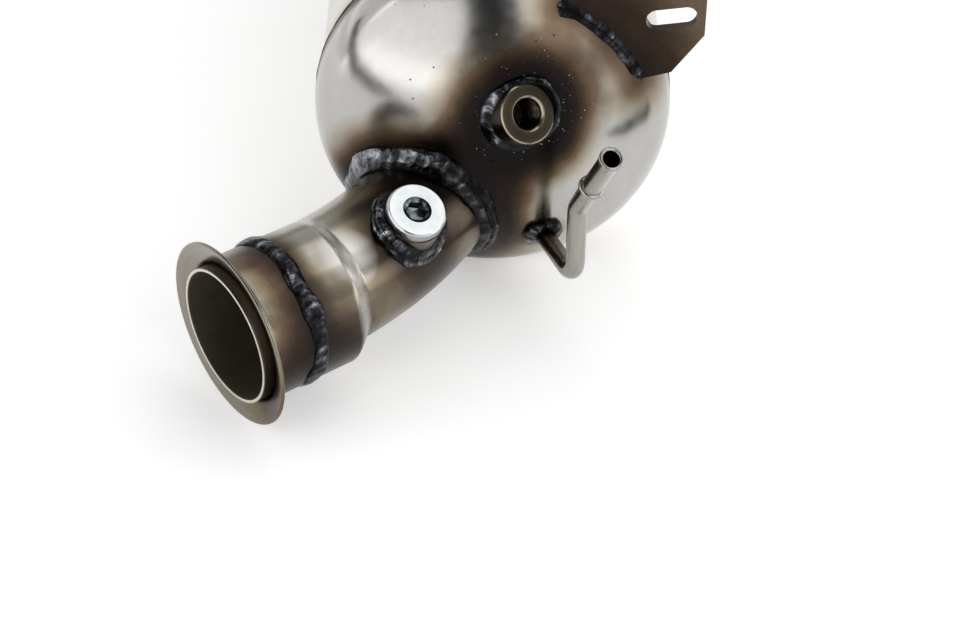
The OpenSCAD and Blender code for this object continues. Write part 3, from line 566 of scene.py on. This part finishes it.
def finishPiece(piece, material, slot, *stands):
    piece.data.materials.clear()
    piece.data.materials.append(material)
    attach(piece, "root")
    if stands:
        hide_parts(*stands)


# Joints: the spot, the two toes and the root from it, and the rise of a bead that lies flat.
def cornerJoint(spot, out, upward, legLow, legHigh, gapTo):
    normal = gapTo(spot)[1]
    run = (out - out.dot(normal) * normal).normalized()
    toe = onto(spot + run * legLow * mm, gapTo)
    toeNormal = gapTo(toe)[1]
    sink = beadForm["toeSink"] * mm
    return (spot, toe - toeNormal * sink - spot, upward * legHigh * mm - out * sink,
            -beadForm["rootSink"] * mm * (normal + out), None)


elbowBead = dict(pitch=4.6, lag=6, seed=1.0, uneven=0.24, ripple=0.20, lumps=0.9, groove=1.1, grooveFrom=-24.0,
                 full=0.85, legDish=6.2, legTop=9.6, legPower=1.5, legTube=5.2, searchFrom=5.0)


def elbowJoint(along):
    t = along * tau
    low, high = radians(elbowBead["searchFrom"]), radians(elbow["turnOut"])

    def wall(f):
        reach = (elbow["bend"] + elbow["radius"] * cos(t)) * mm
        return bendCentre + Vector((reach * cos(f), -reach * sin(f), elbow["radius"] * mm * sin(t)))
    for _ in range(40):
        middle = (low + high) / 2
        if dishGap(wall(middle))[0] > 0:
            high = middle
        else:
            low = middle
    out = Vector((cos(t) * cos(low), -cos(t) * sin(low), sin(t)))
    upward = Vector((-sin(low), -cos(low), 0))
    topShare = max(0.0, sin(t)) ** elbowBead["legPower"]
    legDish = elbowBead["legDish"] + (elbowBead["legTop"] - elbowBead["legDish"]) * topShare
    return cornerJoint(wall(low), out, upward, legDish, elbowBead["legTube"], dishGap)


def bossJoint(foot, upward, radius, bead, gapTo):
    start = foot + upward * (bead["lift"] + bead["reach"]) * mm
    sideA = upward.cross(up).normalized()
    sideB = upward.cross(sideA)

    def jointAt(along):
        t = along * tau
        out = sideA * cos(t) + sideB * sin(t)
        spot = meet(start + out * radius * mm, -upward, 2 * bead["reach"] * mm, gapTo)
        return cornerJoint(spot, out, upward, bead["legs"][0], bead["legs"][1], gapTo)
    return jointAt


ringSink = dict(flat=0.3, flatRoot=0.5, toe=0.2, root=0.4)


def ringJoint(centre, axis, radius, bead, flat):
    along, rise = bead["legs"][0] * mm, bead["legs"][1] * mm
    toe = ringSink["toe"] * mm
    sideA = axis.cross(up).normalized()
    sideB = axis.cross(sideA)

    def jointAt(share):
        t = share * tau
        out = sideA * cos(t) + sideB * sin(t)
        spot = centre + out * radius * mm
        if flat:
            return (spot - out * ringSink["flat"] * mm, axis * along, axis * along,
                    -ringSink["flatRoot"] * mm * out, out * rise)
        return spot, axis * along - out * toe, out * rise - axis * toe, -ringSink["root"] * mm * (out + axis), None
    return jointAt


plugBead = dict(pitch=3.8, lag=4, seed=3.0, uneven=0.35, ripple=0.30, lumps=1.0, groove=0.5, full=0.8,
                legs=(5.4, 5.0), lift=14.5, reach=14.5)
tempBead = dict(pitch=4.5, lag=3, seed=4.0, uneven=0.40, ripple=0.08, lumps=0.55, full=0.8,
                legs=(2.9, 4.0), lift=-9.0, reach=25.0)
pipeBead = dict(pitch=3.2, lag=2, seed=5.0, uneven=0.45, ripple=0.35, lumps=1.0, full=0.8,
                legs=(4.3, 3.8), lift=8.0, reach=16.0)
collarBead = dict(pitch=4.0, lag=7, seed=6.0, uneven=0.30, ripple=0.35, lumps=0.75, full=0.7, meander=2.2,
                  legs=(4.0, 1.5))
seamBead = dict(pitch=2.6, lag=3, seed=7.0, uneven=0.14, ripple=0.3, lumps=0.35, full=0.85, legs=(2.2, 1.9))

# Each weld's joint, bead, steps round the joint, points round the section, and metal
welds = [
    ("elbow_weld", elbowJoint, elbowBead, 480, 30, elbowWeldSteel),
    ("sensor_boss_weld", bossJoint(bossFoot, bossAlong, plugBoss["radius"], plugBead, tubeGap),
     plugBead, 260, 26, plugWeldSteel),
    ("temperature_boss_weld", bossJoint(tempFace, tempAlong, tempBoss["radius"], tempBead, dishGap),
     tempBead, 260, 26, tempWeldSteel),
    ("pressure_pipe_weld", bossJoint(pipeFoot, pipeAlong, pressurePipe["radius"], pipeBead, dishGap),
     pipeBead, 130, 22, weldSteel),
    ("flange_weld", ringJoint(collarWeld, endAlong, elbow["endRadius"], collarBead, True),
     collarBead, 480, 28, weldSteel),
    ("front_seam_weld", ringJoint(place(0, can["front"], 0), canAlong, can["seamRadius"], seamBead, False),
     seamBead, 720, 16, weldSteel),
    ("rear_seam_weld", ringJoint(place(0, can["rear"], 0), -canAlong, can["seamRadius"], seamBead, False),
     seamBead, 720, 16, weldSteel),
    ("outlet_weld", ringJoint(place(0, can["neck"], 0), canAlong, can["neckRadius"], seamBead, False),
     seamBead, 360, 16, weldSteel),
]
for name, jointAt, bead, steps, ribs, metal in welds:
    joints = [jointAt(i / steps) for i in range(steps)]
    glintCrests = {}
    piece = sweepRing(name + "_bead", steps, ribs,
                      lambda index, step, rib: beadPoint(joints, step, rib / ribs, bead, glintCrests, index))
    keepGlintCrests(piece, glintCrests)
    finishPiece(piece, metal, "weld_bead", name)
print("ring welds made:", len(welds))

# Bracket weld: an open bead, from a ball primitive, thin at its tips and thicker towards its end.
bracketBead = dict(pitch=4.0, lag=3, seed=8.0, uneven=0.22, ripple=0.10, lumps=0.45, groove=0.5, full=0.8,
                   legDish=3.4, legPlate=3.2, plateSink=0.3, startThin=0.25, startRise=6, stopThin=0.35, stopRise=12,
                   swell=0.45, swellFrom=0.82, searchFrom=90.0, searchRun=60.0, tip=0.3, rows=170, ribs=26)


def bracketJoint(share):
    bead, over = bracketBead, bracketWeld["over"]
    turn = radians(bracketWeld["start"] - over + (bracketWeld["sweep"] + 2 * over) * share)
    out = Vector((cos(turn), 0, sin(turn)))
    start = place(0, bracketWeld["front"], 0) + out * bead["searchFrom"] * mm
    spot = meet(start, -out, bead["searchRun"] * mm, dishGap)
    normal = dishGap(spot)[1]
    inward = (-out - (-out).dot(normal) * normal).normalized()
    thin = min(1.0, bead["startThin"] + bead["startRise"] * share, bead["stopThin"] + bead["stopRise"] * (1 - share))
    taper = thin * (1 + bead["swell"] * max(0.0, (share - bead["swellFrom"]) / (1 - bead["swellFrom"])))
    toe = onto(spot + inward * bead["legDish"] * taper * mm, dishGap)
    return (spot, toe - dishGap(toe)[1] * beadForm["toeSink"] * mm - spot,
            out * bead["legPlate"] * taper * mm + canAlong * bead["plateSink"] * mm,
            -beadForm["rootSink"] * mm * (normal - canAlong), None)


rows = bracketBead["rows"]
bracketJoints = [bracketJoint(i / rows) for i in range(rows + 1)]
bpy.ops.mesh.primitive_uv_sphere_add(segments=bracketBead["ribs"], ring_count=rows, radius=1.0)
piece = bpy.context.object
piece.name = "bracket_weld_bead"
glintCrests = {}
for vert in piece.data.vertices:
    x, y, z = vert.co
    row = round(acos(max(-1.0, min(1.0, z))) / pi * rows)
    around = atan2(y, x) / tau % 1.0
    if row in (0, rows):
        spot, toeLow, toeHigh = bracketJoints[row][:3]
        vert.co = spot + (toeLow + toeHigh) * bracketBead["tip"]
    else:
        vert.co = beadPoint(bracketJoints, row, around, bracketBead, glintCrests, vert.index)
closePiece(piece)
keepGlintCrests(piece, glintCrests)
finishPiece(piece, weldSteel, "weld_bead", "bracket_weld")
print("bracket weld made")


# Tubes and turned pieces: rows of (centre, side, other side, radius) round a closed wall section.
def tubePiece(name, steps, rows, material, slot, stands, angle):
    def pointAt(index, step, rib):
        t = step / steps * tau
        centre, sideA, sideB, radius = rows[rib]
        reach = radius(t) if callable(radius) else radius
        return centre + (sideA * cos(t) + sideB * sin(t)) * reach * mm
    piece = sweepRing(name, steps, len(rows), pointAt)
    bpy.ops.object.mode_set(mode="EDIT")
    bpy.ops.mesh.remove_doubles(threshold=0.000002)
    bpy.ops.mesh.normals_make_consistent(inside=False)
    bpy.ops.object.mode_set(mode="OBJECT")
    bpy.ops.object.shade_smooth_by_angle(angle=radians(angle))
    finishPiece(piece, material, slot, stands)


def turnedRows(foot, axis, profile):
    sideA = axis.cross(up).normalized()
    sideB = axis.cross(sideA)
    return [(foot + axis * height * mm, sideA, sideB, radius) for radius, height in profile]


def arcPoints(middle, radius, start, end, count):
    turns = [radians(start + (end - start) * i / count) for i in range(count + 1)]
    return [(middle[0] + radius * cos(t), middle[1] + radius * sin(t)) for t in turns]


# Inlet elbow: bent tube whose expanded end runs into it over a soft shoulder.
shoulderRun = dict(before=2.9, after=3.5, wall=1.5, steps=14, endHeights=(0.0, 0.6, 6.0, 12.0), endGap=0.5,
                   bendGap=1.0, bendSteps=39, dishTurn=17.0)


def elbowRows(inset):
    rows = []
    tubeTurn = radians(elbow["turnOut"])
    tubeEnd = bendCentre + elbow["bend"] * mm * Vector((cos(tubeTurn), -sin(tubeTurn), 0))
    tubeAlong = Vector((sin(tubeTurn), cos(tubeTurn), 0))
    run = shoulderRun["before"] + shoulderRun["after"]
    steps, bendSteps = shoulderRun["steps"], shoulderRun["bendSteps"]
    for height in (*shoulderRun["endHeights"], elbow["endLength"] - shoulderRun["before"] - shoulderRun["endGap"]):
        centre = collarWeld + endAlong * height * mm
        rows.append((centre, endSide, up, elbow["endRadius"] - inset))
    for i in range(steps + 1):
        share = i / steps
        ease = share * share * (3 - 2 * share)
        height = elbow["endLength"] - shoulderRun["before"] + run * share
        straight = collarWeld + endAlong * height * mm
        bent = tubeEnd + tubeAlong * (height - elbow["endLength"]) * mm
        along = endAlong.lerp(tubeAlong, ease).normalized()
        rows.append((straight.lerp(bent, ease), Vector((-along.y, along.x, 0)), up,
                     (elbow["endRadius"] * (1 - ease) + elbow["radius"] * ease) - inset))
    firstTurn = elbow["turnOut"] - degrees((shoulderRun["after"] + shoulderRun["bendGap"]) / elbow["bend"])
    for i in range(bendSteps + 1):
        turn = radians(firstTurn + (shoulderRun["dishTurn"] - firstTurn) * i / bendSteps)
        out = Vector((cos(turn), -sin(turn), 0))
        rows.append((bendCentre + elbow["bend"] * mm * out, -out, up, elbow["radius"] - inset))
    return rows


tubePiece("inlet_elbow_tube", 144, elbowRows(0) + elbowRows(shoulderRun["wall"])[::-1], elbowSteel,
          "tinted_stainless", "inlet_elbow", 40)

# Inlet flange: collar and flared lip, with a rounded lip edge.
lip = dict(edge=39.0, bend=70.0, root=2.0, wall=1.5, inner=28.8, outer=30.3, straight=15.0, arcSteps=8,
           rounding=((0.5, 0.0), (0.15, 0.12), (0.0, 0.5), (0.0, 1.0), (0.15, 1.38), (0.5, 1.5)))
lipBend = radians(lip["bend"])
lipRun = (lip["edge"] - lip["outer"] - lip["root"] * (1 - cos(lipBend))) / sin(lipBend)
lipRoot = (lip["root"] + lip["wall"]) * sin(lipBend) + lipRun * cos(lipBend)
lipMiddle = (lip["outer"] + lip["root"], lipRoot)
lipWay = (sin(lipBend), -cos(lipBend))
backArc = arcPoints(lipMiddle, lip["root"], 180, 180 + lip["bend"], lip["arcSteps"])
frontArc = arcPoints(lipMiddle, lip["root"] + lip["wall"], 180 + lip["bend"], 180, lip["arcSteps"])


def lipPoint(share, depth):
    start = backArc[-1]
    away = (start[0] - lipMiddle[0]) / lip["root"], (start[1] - lipMiddle[1]) / lip["root"]
    return start[0] + lipWay[0] * share + away[0] * depth, start[1] + lipWay[1] * share + away[1] * depth


lipEdge = [lipPoint(lipRun - back, depth) for back, depth in lip["rounding"]]
flangeProfile = ([(lip["outer"], elbow["collar"]), (lip["outer"], lip["straight"])] + backArc + lipEdge + frontArc
                 + [(lip["inner"], lip["straight"]), (lip["inner"], elbow["collar"])])
tubePiece("inlet_flange_collar", 160, turnedRows(lipFace, endAlong, flangeProfile), flangeSteel,
          "pressed_flange", "inlet_flange", 50)

# Liner pipe: plain tube with a rounded mouth.
liner = dict(outer=28.7, inner=27.2, end=36.6, proud=1.4, rounding=((0.0, 0.4), (0.12, 0.12), (0.4, 0.0)))
mouthOut = [(liner["outer"] - back, rise - liner["proud"]) for back, rise in liner["rounding"]]
mouthIn = [(liner["inner"] + back, rise - liner["proud"]) for back, rise in liner["rounding"][::-1]]
linerProfile = ([(liner["outer"], liner["end"]), (liner["outer"], 0.0)] + mouthOut + mouthIn
                + [(liner["inner"], 0.0), (liner["inner"], liner["end"])])
tubePiece("inlet_liner_tube", 160, turnedRows(lipFace, endAlong, linerProfile), linerSteel,
          "liner_pipe", "inlet_liner", 60)

# Plug: chamfered head, hexagon socket with a widened round mouth, plain shank.
plug = dict(seat=30.5, head=4.2, radius=12.3, flats=8.0, mouth=5.7, shank=8.2, shankLength=9.0, depth=6.0,
            tip=0.6, foot=0.3, face=8.5, mouthIn=0.35, mouthDeep=1.0, flatsDeep=1.25, floorRise=0.4,
            drill=3.2, drillTip=0.8, mouthEdge=((0.3, 0.0), (0.12, 0.0), (-0.1, 0.12)),
            rounding=((0.0, 1.0), (0.08, 0.82), (0.68, 0.12), (0.85, 0.02), (1.1, 0.0), (1.3, 0.0)))


def hexagon(t):
    return plug["flats"] / 2 / cos((t + pi / 6) % (pi / 3) - pi / 6)


def hexMouth(t):
    return max(hexagon(t), plug["flats"] / 2 + plug["mouthIn"])


top = plug["seat"] + plug["head"]
shankEnd = plug["seat"] - plug["shankLength"]
socketFloor = top - plug["depth"]
plugProfile = ([(0.0, shankEnd), (plug["shank"] - plug["tip"], shankEnd), (plug["shank"], shankEnd + plug["tip"]),
                (plug["shank"], plug["seat"]), (plug["radius"] - plug["foot"], plug["seat"]),
                (plug["radius"], plug["seat"] + plug["foot"])]
               + [(plug["radius"] - back, top - down) for back, down in plug["rounding"]] + [(plug["face"], top)]
               + [(plug["mouth"] + wide, top - down) for wide, down in plug["mouthEdge"]]
               + [(hexMouth, top - plug["mouthDeep"]), (hexagon, top - plug["flatsDeep"]),
                  (hexagon, socketFloor + plug["floorRise"]), (plug["drill"], socketFloor),
                  (0.0, socketFloor - plug["drillTip"])])
tubePiece("sensor_plug_body", 144, turnedRows(bossFoot, bossAlong, plugProfile), zincPlug,
          "zinc_plug", "sensor_plug", 25)

# Temperature boss: turned body with chamfered edges and a cut thread of 1.5 mm pitch.
thread = dict(pitch=1.5, minor=6.0, depth=0.5, start=-16.6, end=-1.5, steep=1.6, root=0.3, fadeIn=1.0, fadeOut=0.6,
              rows=120)
openBoss = dict(length=18.0, rounding=((0.0, 0.75), (0.08, 0.58), (0.55, 0.08), (0.7, 0.0), (0.9, 0.0)),
                mouth=[(9.5, 0.0), (7.5, 0.0), (7.3, 0.0), (7.15, -0.05), (6.05, -1.2), (6.0, -1.35)],
                foot=[(6.0, -17.0), (6.6, -18.0)])


def threadAt(height):
    def radius(t):
        beat = (height / thread["pitch"] + t / tau) % 1.0
        cut = max(0.0, min(1.0, thread["steep"] * (1 - abs(2 * beat - 1)) - thread["root"]))
        fade = min(1.0, (height - thread["start"]) / thread["fadeIn"], (thread["end"] - height) / thread["fadeOut"])
        return thread["minor"] + thread["depth"] * cut * max(0.0, fade)
    return radius


threadHeights = [thread["end"] + (thread["start"] - thread["end"]) * i / thread["rows"]
                 for i in range(thread["rows"] + 1)]
bossProfile = ([(tempBoss["radius"], -openBoss["length"])]
               + [(tempBoss["radius"] - back, -down) for back, down in openBoss["rounding"]] + openBoss["mouth"]
               + [(threadAt(height), height) for height in threadHeights] + openBoss["foot"])
tubePiece("temperature_boss_body", 120, turnedRows(tempFace, tempAlong, bossProfile), tempSteel, "boss_steel",
          "temperature_boss", 30)

# Pressure pipe: two bends, a hose bead and a slightly opened mouth.
pipe = dict(legA=33.0, legB=24.0, bend=9.0, lean=35.0, bore=3.0, hoseLength=49.0, straight=(0.0, 15.0, 32.0),
            riser=12.0, bendSteps=16, leanSteps=8, bead=30.0, beadHigh=1.1, beadHalf=1.5, beadFoot=4.25, beadSteps=8,
            swage=[(3.0, 4.02), (6.0, 4.15)], before=(-2.4, 4.2), after=(2.0, 4.3),
            mouth=[(44.0, 4.3), (45.5, 4.42), (46.8, 4.72), (47.6, 4.9), (48.3, 4.95), (48.75, 4.8), (49.0, 4.35)],
            inside=[(3.0, 3.05), (44.0, 3.2), (47.6, 3.25), (48.5, 3.4), (48.95, 3.75)])


def pipeRows(outside):
    rows = []
    level = Vector((-pipeAlong.y, pipeAlong.x, 0))
    radius = pressurePipe["radius"] if outside else pipe["bore"]

    def add(centre, along, size):
        rows.append((centre, level, along.cross(level), size))
    for height in pipe["straight"]:
        add(pipeFoot + pipeAlong * height * mm, pipeAlong, radius)
    corner = pipeFoot + pipeAlong * pipe["legA"] * mm
    for i in range(pipe["bendSteps"] + 1):
        t = radians(90 * i / pipe["bendSteps"])
        add(corner + pipe["bend"] * mm * (pipeAlong * sin(t) + up * (1 - cos(t))),
            pipeAlong * cos(t) + up * sin(t), radius)
    foot = corner + pipe["bend"] * mm * (pipeAlong + up)
    add(foot + up * pipe["riser"] * mm, up, radius)
    foot = foot + up * pipe["legB"] * mm
    for i in range(pipe["leanSteps"] + 1):
        t = radians(pipe["lean"] * i / pipe["leanSteps"])
        add(foot + pipe["bend"] * mm * (pipeAlong * (1 - cos(t)) + up * sin(t)),
            pipeAlong * sin(t) + up * cos(t), radius)
    along = pipeAlong * sin(radians(pipe["lean"])) + up * cos(radians(pipe["lean"]))
    foot = rows[-1][0]
    ring = pipe["hoseLength"] - pipe["bead"]
    hose = pipe["inside"]
    if outside:
        turns = [radians(180 * i / pipe["beadSteps"] - 90) for i in range(pipe["beadSteps"] + 1)]
        hose = (pipe["swage"] + [(ring + pipe["before"][0], pipe["before"][1])]
                + [(ring + pipe["beadHalf"] * sin(t), pipe["beadFoot"] + pipe["beadHigh"] * cos(t))
                   for t in turns]
                + [(ring + pipe["after"][0], pipe["after"][1])] + pipe["mouth"])
    for height, size in hose:
        add(foot + along * height * mm, along, size)
    return rows


tubePiece("pressure_pipe_tube", 64, pipeRows(True) + pipeRows(False)[::-1], pipeSteel,
          "pipe_stainless", "pressure_pipe", 50)
print("tubes and turned pieces made")


# Weld spatter: small beads of steel round the bosses and a few burnt specks further out.
spatter = dict(bright=110, burnt=20, seed=11, brightNear=14, brightSpread=9, burntNear=20, burntFar=62,
               burntLevel=5.0, dishLimit=66, tubeGap=9, brightLeast=0.09, brightMore=0.24, burntSizes=(0.2, 0.42))
dice = random.Random(spatter["seed"])
for kind in ("bright", "burnt"):
    beads = []
    while len(beads) < spatter[kind]:
        around = dice.uniform(0, tau)
        if kind == "bright":
            far, level = spatter["brightNear"] + abs(dice.gauss(0, spatter["brightSpread"])), tempBoss["face"][2]
        else:
            far, level = dice.uniform(spatter["burntNear"], spatter["burntFar"]), spatter["burntLevel"]
        spot = (place(tempBoss["face"][0], tempBoss["face"][1], level)
                + Vector((cos(around), 0, sin(around))) * far * mm)
        if Vector((spot.x, spot.z)).length > spatter["dishLimit"] * mm:
            continue
        spot = onto(spot, dishGap)
        if tubeGap(spot)[0] < spatter["tubeGap"] * mm:
            continue
        if kind == "bright":
            size = (spatter["brightLeast"] + spatter["brightMore"] * dice.random() ** 3) * mm
        else:
            size = dice.uniform(*spatter["burntSizes"]) * mm
        bpy.ops.mesh.primitive_ico_sphere_add(subdivisions=1, radius=size, location=spot)
        beads.append(bpy.context.object)
    bpy.ops.object.select_all(action="DESELECT")
    for bead in beads:
        bead.select_set(True)
    bpy.context.view_layer.objects.active = beads[0]
    bpy.ops.object.join()
    piece = bpy.context.object
    piece.name = "weld_spatter_" + kind
    bpy.ops.object.transform_apply(location=True, rotation=True, scale=True)
    bpy.ops.object.shade_smooth()
    finishPiece(piece, washerMetal if kind == "bright" else weldSteel, "weld_bead")
print("spatter made")


# Floor, light and camera

stageSet = dict(floorY=-0.3, floorZ=-0.0757, floorSize=9.0, shade="#e2e2e1", glow=(0.34, 0.9), glowRun=(0.6, 2.0))
bpy.ops.mesh.primitive_plane_add(size=stageSet["floorSize"], location=(0, stageSet["floorY"], stageSet["floorZ"]))
floor = bpy.context.object
floor.name = "floor"
paper, tree, shader, where = newMaterial("white_paper_sweep")
path = addNode(tree, "LightPath")
seen = addNode(tree, "Math", {0: path.outputs["Is Camera Ray"], 1: path.outputs["Is Glossy Ray"]},
               operation="MAXIMUM")
seen = addNode(tree, "Math", {0: seen, 1: path.outputs["Is Transmission Ray"]}, operation="MAXIMUM")
white = addNode(tree, "Mix", {"Factor": seen, "A": ink(stageSet["shade"]), "B": (1, 1, 1, 1)}, data_type="RGBA")
out = addNode(tree, "VectorMath", {0: where}, operation="LENGTH")
lit = addNode(tree, "MapRange", {"Value": out, "From Min": stageSet["glowRun"][0],
                                 "From Max": stageSet["glowRun"][1], "To Min": stageSet["glow"][0],
                                 "To Max": stageSet["glow"][1]}, interpolation_type="SMOOTHSTEP")
glow = addNode(tree, "Math", {0: lit, 1: seen}, operation="MULTIPLY")
wire(tree, shader, {"Base Color": white, "Roughness": 1.0, "Specular IOR Level": 0.0,
                    "Emission Color": (1, 1, 1, 1), "Emission Strength": glow})
floor.data.materials.append(paper)

world = bpy.data.worlds.new("studio")
bpy.context.scene.world = world
world.use_nodes = True
tree = world.node_tree
sky = tree.nodes["Background"]
heading = addNode(tree, "TexCoord").outputs["Generated"]
rise = addNode(tree, "SeparateXYZ", {0: heading})
fade = addNode(tree, "ValToRGB", {"Fac": rise.outputs["Z"]})
fillRamp(fade, [(0.0, "#f7f7f7"), (0.08, "#f2f2f2"), (0.22, "#8c8c8c"), (0.6, "#565656"), (1.0, "#3c3c3c")])
wire(tree, sky, {"Color": fade, "Strength": 1.0})


def softBox(name, spot, aim, size, power):
    lamp = bpy.data.lights.new(name, "AREA")
    lamp.shape = "RECTANGLE"
    lamp.size, lamp.size_y = size
    lamp.energy = power
    box = bpy.data.objects.new(name, lamp)
    bpy.context.collection.objects.link(box)
    turn = (Vector(aim) - Vector(spot)).to_track_quat("-Z", "Y")
    box.location = spot
    box.rotation_euler = turn.to_euler()
    box.visible_camera = False


# place, aim and size in metres, and watts
softBox("left_box", (-0.98, -1.14, 0.56), (0, -0.38, 0.30), (1.9, 1.25), 9.4)
softBox("far_left_box", (-1.11, 0.14, 0.58), (-0.04, -0.36, 0.03), (1.3, 0.9), 2.6)
softBox("back_right_box", (1.3, 0.3, 0.5), (0, -0.4, 0), (1.2, 0.8), 4.0)
softBox("back_box", (-0.15, 1.0, 0.85), (0, -0.4, 0), (1.5, 0.8), 2.0)
softBox("right_box", (0.72, -1.32, 0.78), (0, -0.38, 0.02), (0.85, 0.95), 5.0)
softBox("right_strip", (1.35, -0.60, 0.20), (0, -0.40, 0.10), (1.0, 0.5), 3.4)
softBox("top_box", (0.35, 0.15, 1.5), (0, -0.2, 0), (1.6, 1.1), 7.5)
softBox("high_right_box", (0.77, -0.55, 0.88), (-0.06, -0.44, 0), (0.50, 0.75), 1.05)


# Black cards give the metal its dark lines, as a studio does: behind the camera and along the floor's edge.
def blackCard(name, spot, aim, size, roll=0):
    bpy.ops.mesh.primitive_plane_add(size=1.0)
    card = bpy.context.object
    card.name = name
    card.scale = (size[0], size[1], 1)
    facing = (Vector(aim) - Vector(spot)).to_track_quat("Z", "Y")
    card.rotation_euler = (facing.to_matrix() @ Matrix.Rotation(radians(roll), 3, "Z")).to_euler()
    card.location = spot
    bpy.ops.object.transform_apply(location=True, rotation=True, scale=True)
    card.data.materials.append(cardBlack)
    card.visible_camera = card.visible_diffuse = card.visible_shadow = False


cardBlack, tree, shader, where = newMaterial("black_card")
weave = addNode(tree, "TexNoise", {"Vector": where, "Scale": 60.0})
ramp = addNode(tree, "ValToRGB", {"Fac": weave})
fillRamp(ramp, [(0.3, "#0c0c0c"), (0.7, "#161616")])
wire(tree, shader, {"Base Color": ramp, "Roughness": 1.0, "Specular IOR Level": 0.0})
blackCard("card_behind_camera", (0.0, -1.45, 0.88), (0, -0.4, 0), (0.56, 1.2))
blackCard("card_left", (-0.50, -0.50, 0.045), (-0.03, -0.37, 0.03), (0.75, 0.07), 24)
blackCard("card_right", (0.182, -0.423, -0.060), (0.055, -0.375, 0), (0.09, 0.022), -25)

lens = dict(sensor=36.0, focal=78.75, spot=(-0.0053, -1.0956, 0.4830), tilt=51.41)
view = bpy.data.cameras.new("camera")
view.sensor_width = lens["sensor"]
view.lens = lens["focal"]
camera = bpy.data.objects.new("camera", view)
bpy.context.collection.objects.link(camera)
camera.location = lens["spot"]
camera.rotation_euler = (radians(lens["tilt"]), 0, 0)
view.clip_end = 50
bpy.context.scene.camera = camera
bpy.context.scene.view_settings.view_transform = "Standard"
print("stage set")
